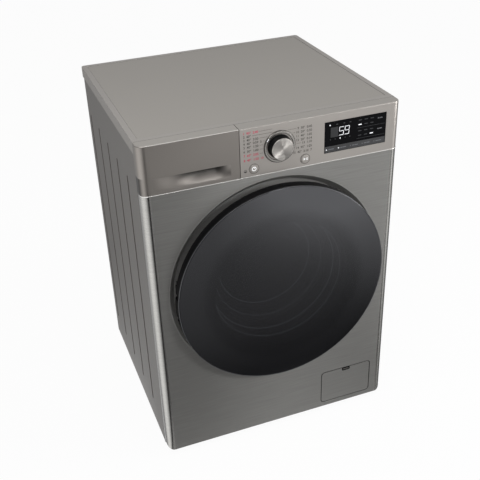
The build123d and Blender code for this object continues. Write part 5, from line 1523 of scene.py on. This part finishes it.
@dataclass
class Hoses:
    """Rubber hoses inside the case."""

    rib_step: float = 0.0024
    rib: float = 0.10
    drain_radius: float = 0.011
    sump_radius: float = 0.015
    folds: int = 4
    fold_steps: int = 8
    sump_route: Tuple[Point3, ...] = (
        (0.0740, 0.0685, 0.1890), (0.1040, 0.0685, 0.1890), (0.1215, 0.0500, 0.1830), (0.1205, -0.0500, 0.1420),
        (0.1192, -0.1500, 0.1030), (0.1235, -0.1775, 0.0920), (0.1482, -0.1775, 0.0920),
    )
    drain_route: Tuple[Point3, ...] = (
        (0.1915, -0.2075, 0.1273), (0.1915, -0.2075, 0.1600), (0.2050, -0.2015, 0.1733), (0.2700, -0.1735, 0.1733),
        (0.2852, -0.1500, 0.1733), (0.2852, 0.0400, 0.1733), (0.2852, 0.2150, 0.1733), (0.2600, 0.2415, 0.1690),
        (0.0800, 0.2415, 0.1380), (-0.1100, 0.2415, 0.1060), (-0.1800, 0.2415, 0.0940), (-0.2000, 0.2560, 0.0920),
        (-0.2000, 0.2815, 0.0920),
    )

    def build(self) -> None:
        """Makes the hoses where their solids are."""
        self.bellows_hose()
        self.inlet_hoses()
        drain = self.ribbed([self.drain_route], self.drain_radius)
        publish("drain_hose_dressed", drain, GREY_RUBBER, Body.CABINET, ["drain_hose"], FINE)
        bm = self.ribbed([self.sump_route], self.sump_radius)
        sump = publish("sump_hose_dressed", bm, BLACK_RUBBER, None, ["sump_hose"], FINE)
        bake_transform(sump)

    def inlet_hoses(self) -> None:
        """The two inlet hoses from the valve to the dispenser."""
        low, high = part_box("inlet_hoses")
        centre = (low + high) / 2
        radius = (high.z - low.z) / 2
        routes = [
            [(x, y, centre.z) for y in (low.y, centre.y, high.y)] for x in (low.x + radius, high.x - radius)
        ]
        publish("inlet_hoses_dressed", self.ribbed(routes, radius), BLACK_RUBBER, Body.CABINET, ["inlet_hoses"], FINE)

    def ribbed(self, routes: Sequence[Sequence[Sequence[float]]], radius: float) -> Mesh:
        """Ribbed tubes along smooth routes.

        Args:
            routes: The control points of each tube's line.
            radius: Radius over the ribs.

        Returns:
            The tubes' mesh.
        """
        bm = bmesh.new()
        for route in routes:
            line = self.even(self.smooth_line(route))
            curve = self.spline(line, "POLY")
            curve.bevel_depth = radius
            curve.bevel_resolution = 5
            curve.use_fill_caps = True
            tube = self.as_mesh(curve)
            around = len(tube.vertices) // len(line)
            for i in range(1, len(line) - 1, 2):
                middle = Vector(line[i])
                for vertex in tube.vertices[i * around:(i + 1) * around]:
                    vertex.co = middle + (vertex.co - middle) * (1 - self.rib)
            bm.from_mesh(tube)
            bpy.data.meshes.remove(tube)
        bmesh.ops.remove_doubles(bm, verts=bm.verts, dist=1e-6)
        bmesh.ops.recalc_face_normals(bm, faces=bm.faces)
        return bm

    def spline(self, points: Sequence[Sequence[float]], kind: str) -> bpy.types.Curve:
        """A curve of one open spline through or along points.

        Args:
            points: The points.
            kind: POLY or NURBS.

        Returns:
            The curve.
        """
        curve = bpy.data.curves.new("hose", "CURVE")
        curve.dimensions = "3D"
        spline = curve.splines.new(kind)
        spline.points.add(len(points) - 1)
        for point, place in zip(spline.points, points):
            point.co = (*place, 1.0)
        if kind == "NURBS":
            spline.order_u = 3
            spline.use_endpoint_u = True
            spline.resolution_u = 24
        return curve

    def as_mesh(self, curve: bpy.types.Curve) -> bpy.types.Mesh:
        """A curve's mesh; the curve is removed.

        Args:
            curve: The curve.

        Returns:
            Its mesh.
        """
        holder = bpy.data.objects.new("hose", curve)
        mesh = bpy.data.meshes.new_from_object(holder)
        bpy.data.objects.remove(holder)
        bpy.data.curves.remove(curve)
        return mesh

    def smooth_line(self, route: Sequence[Sequence[float]]) -> List[Vector]:
        """Points along the smooth line of a route.

        Args:
            route: The route's control points.

        Returns:
            The points.
        """
        mesh = self.as_mesh(self.spline(route, "NURBS"))
        line = [vertex.co.copy() for vertex in mesh.vertices]
        bpy.data.meshes.remove(mesh)
        return line

    def even(self, line: Sequence[Vector]) -> List[Vector]:
        """The same line with a point at every rib and groove.

        Args:
            line: The line's points.

        Returns:
            The points at even steps.
        """
        lengths = [0.0]
        for first, second in zip(line, line[1:]):
            lengths.append(lengths[-1] + (second - first).length)
        count = max(2, round(lengths[-1] / self.rib_step))
        points: List[Vector] = []
        at = 0
        for i in range(count + 1):
            goal = lengths[-1] * i / count
            while at < len(line) - 2 and lengths[at + 1] < goal:
                at += 1
            span = lengths[at + 1] - lengths[at]
            points.append(line[at].lerp(line[at + 1], (goal - lengths[at]) / span if span else 0.0))
        return points

    def bellows_hose(self) -> None:
        """The folded hose from the dispenser down to the tub."""
        low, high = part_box("dispenser_hose")
        centre = (low + high) / 2
        count = self.folds * self.fold_steps
        outline = []
        for i in range(count + 1):
            swell = 0.5 - 0.5 * math.cos(i / self.fold_steps * math.tau)
            outline.append((0.019 + 0.0048 * swell, low.z + (high.z - low.z) * i / count))
        outline += [(0.0155, high.z), (0.0155, low.z)]
        bm = bmesh.new()
        revolve(bm, [(centre.x + r, centre.y, z) for r, z in outline], centre, (0, 0, 1), 40)
        piece = publish("dispenser_hose_dressed", bm, BLACK_RUBBER, None, ["dispenser_hose"], FINE)
        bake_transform(piece)


@dataclass
class Plumbing:
    """Valve, pump, filter and hatch."""

    flap_left: float = 0.1215
    flap_right: float = 0.2615
    flap_low: float = 0.0360
    flap_high: float = 0.1350

    def build(self) -> None:
        """Dresses what carries water."""
        refine("inlet_valve", WHITE_PLASTIC, 0.0005)
        refine("drain_outlet", BLACK_SATIN, 0.0004)
        refine("filter_flap", STEEL_FRONT, 0.0004)
        self.flap_lines()
        refine("filter_bay", BLACK_SATIN)
        refine("drain_filter", BLUE_PLASTIC, 0.0005)
        dress(["drain_pump"], WHITE_PLASTIC)
        dress(["door_lock", "main_board"], BLACK_SATIN)
        dress(["display_board"], BOARD_GREEN)
        dress(["foot_nuts"], PLAIN_STEEL)

    def flap_lines(self) -> None:
        """The dark gap round the flap, and its finger slot with a grey insert."""
        x, top = (self.flap_left + self.flap_right) / 2, self.flap_high
        left, right, low = self.flap_left, self.flap_right, self.flap_low
        for name, finish, start, end, corner, band, depth, thick in (
            ("flap_outline", RING_BLACK, (left, low), (right, top), 0.009, 0.0009, 0.0, FILM),
            (
                "flap_slot_rim", RING_BLACK, (x - 0.0112, top - 0.0100), (x + 0.0112, top - 0.0004),
                0.003, 0.0028, 0.0, 0.0002,
            ),
            (
                "flap_slot_insert", GREY_PAINT, (x - 0.0076, top - 0.0070), (x + 0.0076, top - 0.0044),
                0.001, 0.0, 0.0012, 0.0008,
            ),
        ):
            bm = bmesh.new()
            rounded_frame(bm, start, end, corner, band, depth, thick)
            publish(name, bm, finish, Body.FLAP)


@dataclass
class Studio:
    """Floor, light and camera."""

    eye: Point3 = (-0.59826, FRONT - 1.42362, 1.48721)
    azimuth: float = -19.69
    elevation: float = 30.73
    roll: float = -2.19
    focal: float = 792.56
    frame_width: float = 480.0
    ambient: float = 0.30
    sky_shine: float = 0.14
    box_shine: float = 0.45
    corner: float = 0.3
    near: float = 0.17
    skirt: float = 0.40
    strip: float = 1.7
    cover: float = 0.96
    lamps: Tuple[Tuple[str, Point3, float, float], ...] = (
        ("key", (2.8, -1.3, 2.6), 1.8, 44.0), ("top", (-0.6, -0.75, 2.2), 1.2, 16.0),
        ("side_card", (1.75, -1.05, 0.85), 0.7, 10.0), ("front_card", (0.74, -2.26, 1.75), 0.5, 5.5),
    )
    left_strip: Tuple[Point2, ...] = (
        (0.020, 0.0), (0.033, 0.25), (0.13, 0.50), (0.205, 0.80), (0.255, 0.97), (0.30, 0.98), (0.345, 0.85),
        (0.385, 0.65), (0.415, 0.42), (0.443, 0.18), (0.466, 0.0), (1.0, 0.0),
    )
    right_strip: Tuple[Point2, ...] = (
        (0.592, 0.0), (0.625, 0.35), (0.661, 0.95), (0.70, 0.6), (0.728, 0.25), (0.822, 0.10), (1.0, 0.1),
    )

    def build(self) -> None:
        """Sets the stage."""
        self.floor()
        self.world()
        for lamp in self.lamps:
            self.lamp(*lamp)
        self.camera()
        bpy.context.scene.view_settings.view_transform = "Standard"

    def floor(self) -> None:
        """A pale floor: white to the camera with a soft shadow, and graded in reflections."""
        bm = bmesh.new()
        bmesh.ops.create_grid(bm, x_segments=1, y_segments=1, size=14.0, matrix=Matrix.Translation((0, 0, -0.0003)))
        mesh = bpy.data.meshes.new("floor")
        bm.to_mesh(mesh)
        bm.free()
        shader = Shader("floor")
        seen, glossy = shader.rays()
        pale = shader.get("ShaderNodeBsdfDiffuse", None, {"Color": (0.8, 0.8, 0.8, 1.0)})
        shine = shader.get("ShaderNodeEmission", None, {"Color": self.reflected(shader)})
        white = shader.get("ShaderNodeEmission", None, {"Color": (1.0, 1.0, 1.0, 1.0)})
        shader.close("Material", shader.mix(seen * self.cover, shader.mix(glossy, pale, shine), white))
        mesh.materials.append(shader.material)
        floor = bpy.data.objects.new("floor", mesh)
        bpy.context.scene.collection.objects.link(floor)

    def reflected(self, shader: Shader) -> Sock:
        """What polished faces see of the floor.

        Args:
            shader: The floor's shader.

        Returns:
            Its level: dim close in front, brighter further off and to the right, with a light strip on either hand.
        """
        x, y, _ = shader.axes(shader.place((1, -1, 1), (self.corner, -FRONT, 0.0)))
        across = x - 2 * self.corner
        turn = shader.math("ARCTAN2", x, y) / (math.tau) + 0.5
        turn_right = shader.math("ARCTAN2", across, y) / (math.tau) + 0.5
        reach = (x * x + y * y) ** 0.5
        ahead = turn.above(0.5070, 0.004) * turn_right.below(0.5990, 0.004)
        far = shader.math("MINIMUM", shader.math("MAXIMUM", (y - 0.25) / 1.05, 0.0), 1.0)
        close = shader.ramp(y, 0.2, 0.6, 0.06, self.near) + shader.ramp(y, 0.05, 0.25, self.skirt, 0.0)
        front = far * shader.ramp(x, 0.35, 1.05, 0.24, 1.0) + close * shader.ramp(x, 0.45, 0.85, 1.0, 0.20)
        left = shader.get("ShaderNodeValToRGB", {"stops": self.left_strip}, {0: turn}) * self.strip
        right = shader.get("ShaderNodeValToRGB", {"stops": self.right_strip}, {0: turn_right})
        side = turn.below(0.0260, 0.006) * shader.ramp(reach, 0.2, 1.2, 0.8, 0.25)
        return front * ahead + left + right * shader.ramp(reach, 0.6, 1.7, 0.6, 1.5) + side

    def world(self) -> None:
        """White to the camera and through glass, soft grey as a light, and between the two in polished faces."""
        world = bpy.data.worlds.new("studio")
        bpy.context.scene.world = world
        shader = Shader("studio", world)
        seen, glossy = shader.rays()
        level = self.ambient
        tones = ((level, level, level * 1.02, 1.0), (1.0, 1.0, 1.0, 1.0), (0.0, 0.0, 0.0, 1.0))
        light, white, black = (shader.get("ShaderNodeBackground", None, {"Color": tone}) for tone in tones)
        side, ahead, up = shader.axes(shader.get("ShaderNodeTexCoord", key="Generated"))
        front = ahead.below(-0.1, 0.1)
        gap = side.above(-0.20, 0.03) * side.below(0.12, 0.03) * front
        beside = side.above(0.12, 0.03) * side.below(0.32, 0.08) * front
        box = up.above(0.10, 0.05) * up.below(0.60, 0.1) * ahead.below(-0.3, 0.1)
        shine = box * shader.ramp(side, 0.22, 0.5, 0.1, 1.0) * self.box_shine + self.sky_shine
        share = shader.math("MAXIMUM", seen, glossy * (1 - gap) * shine)
        dim = (gap + beside * 0.45) * glossy
        shader.close("World", shader.mix(dim, shader.mix(share, light, white), black))

    def lamp(self, name: str, place: Point3, size: float, power: float) -> None:
        """A soft square lamp that faces the machine.

        Args:
            name: The lamp's name.
            place: Where it stands.
            size: Its side.
            power: Its power, in watts.
        """
        data = bpy.data.lights.new(name, "AREA")
        data.shape = "RECTANGLE"
        data.size = data.size_y = size
        data.energy = power
        lamp = bpy.data.objects.new(name, data)
        lamp.location = place
        aim = Vector((0.0, 0.0, 0.5)) - Vector(place)
        lamp.rotation_euler = aim.to_track_quat("-Z", "Y").to_euler()
        lamp.visible_camera = False
        bpy.context.scene.collection.objects.link(lamp)

    def camera(self) -> None:
        """The photograph's viewpoint, from its fitted angles."""
        az, el, roll = (math.radians(a) for a in (self.azimuth, self.elevation, self.roll))
        back = Vector((math.sin(az) * math.cos(el), -math.cos(az) * math.cos(el), math.sin(el)))
        right = Vector((math.cos(az), math.sin(az), 0.0))
        up = back.cross(right)
        across = math.cos(roll) * right + math.sin(roll) * up
        upright = math.cos(roll) * up - math.sin(roll) * right
        data = bpy.data.cameras.new("camera")
        data.sensor_width = 36.0
        data.lens = self.focal / self.frame_width * data.sensor_width
        data.clip_end = 60.0
        camera = bpy.data.objects.new("camera", data)
        turn = Matrix((across, upright, back)).transposed().to_4x4()
        camera.matrix_world = Matrix.Translation(self.eye) @ turn
        bpy.context.scene.collection.objects.link(camera)
        bpy.context.scene.camera = camera


def main() -> None:
    """Builds every sub-assembly, then updates the view layer."""
    logging.basicConfig(level=logging.INFO, format="%(name)s %(message)s")
    parts = (Studio, Cabinet, Fascia, Display, Drawer, Door, Gasket, Drum, Suspension, Hoses, Plumbing)
    for part in parts:
        part().build()
    bpy.context.view_layer.update()


if __name__ == "__main__":
    main()
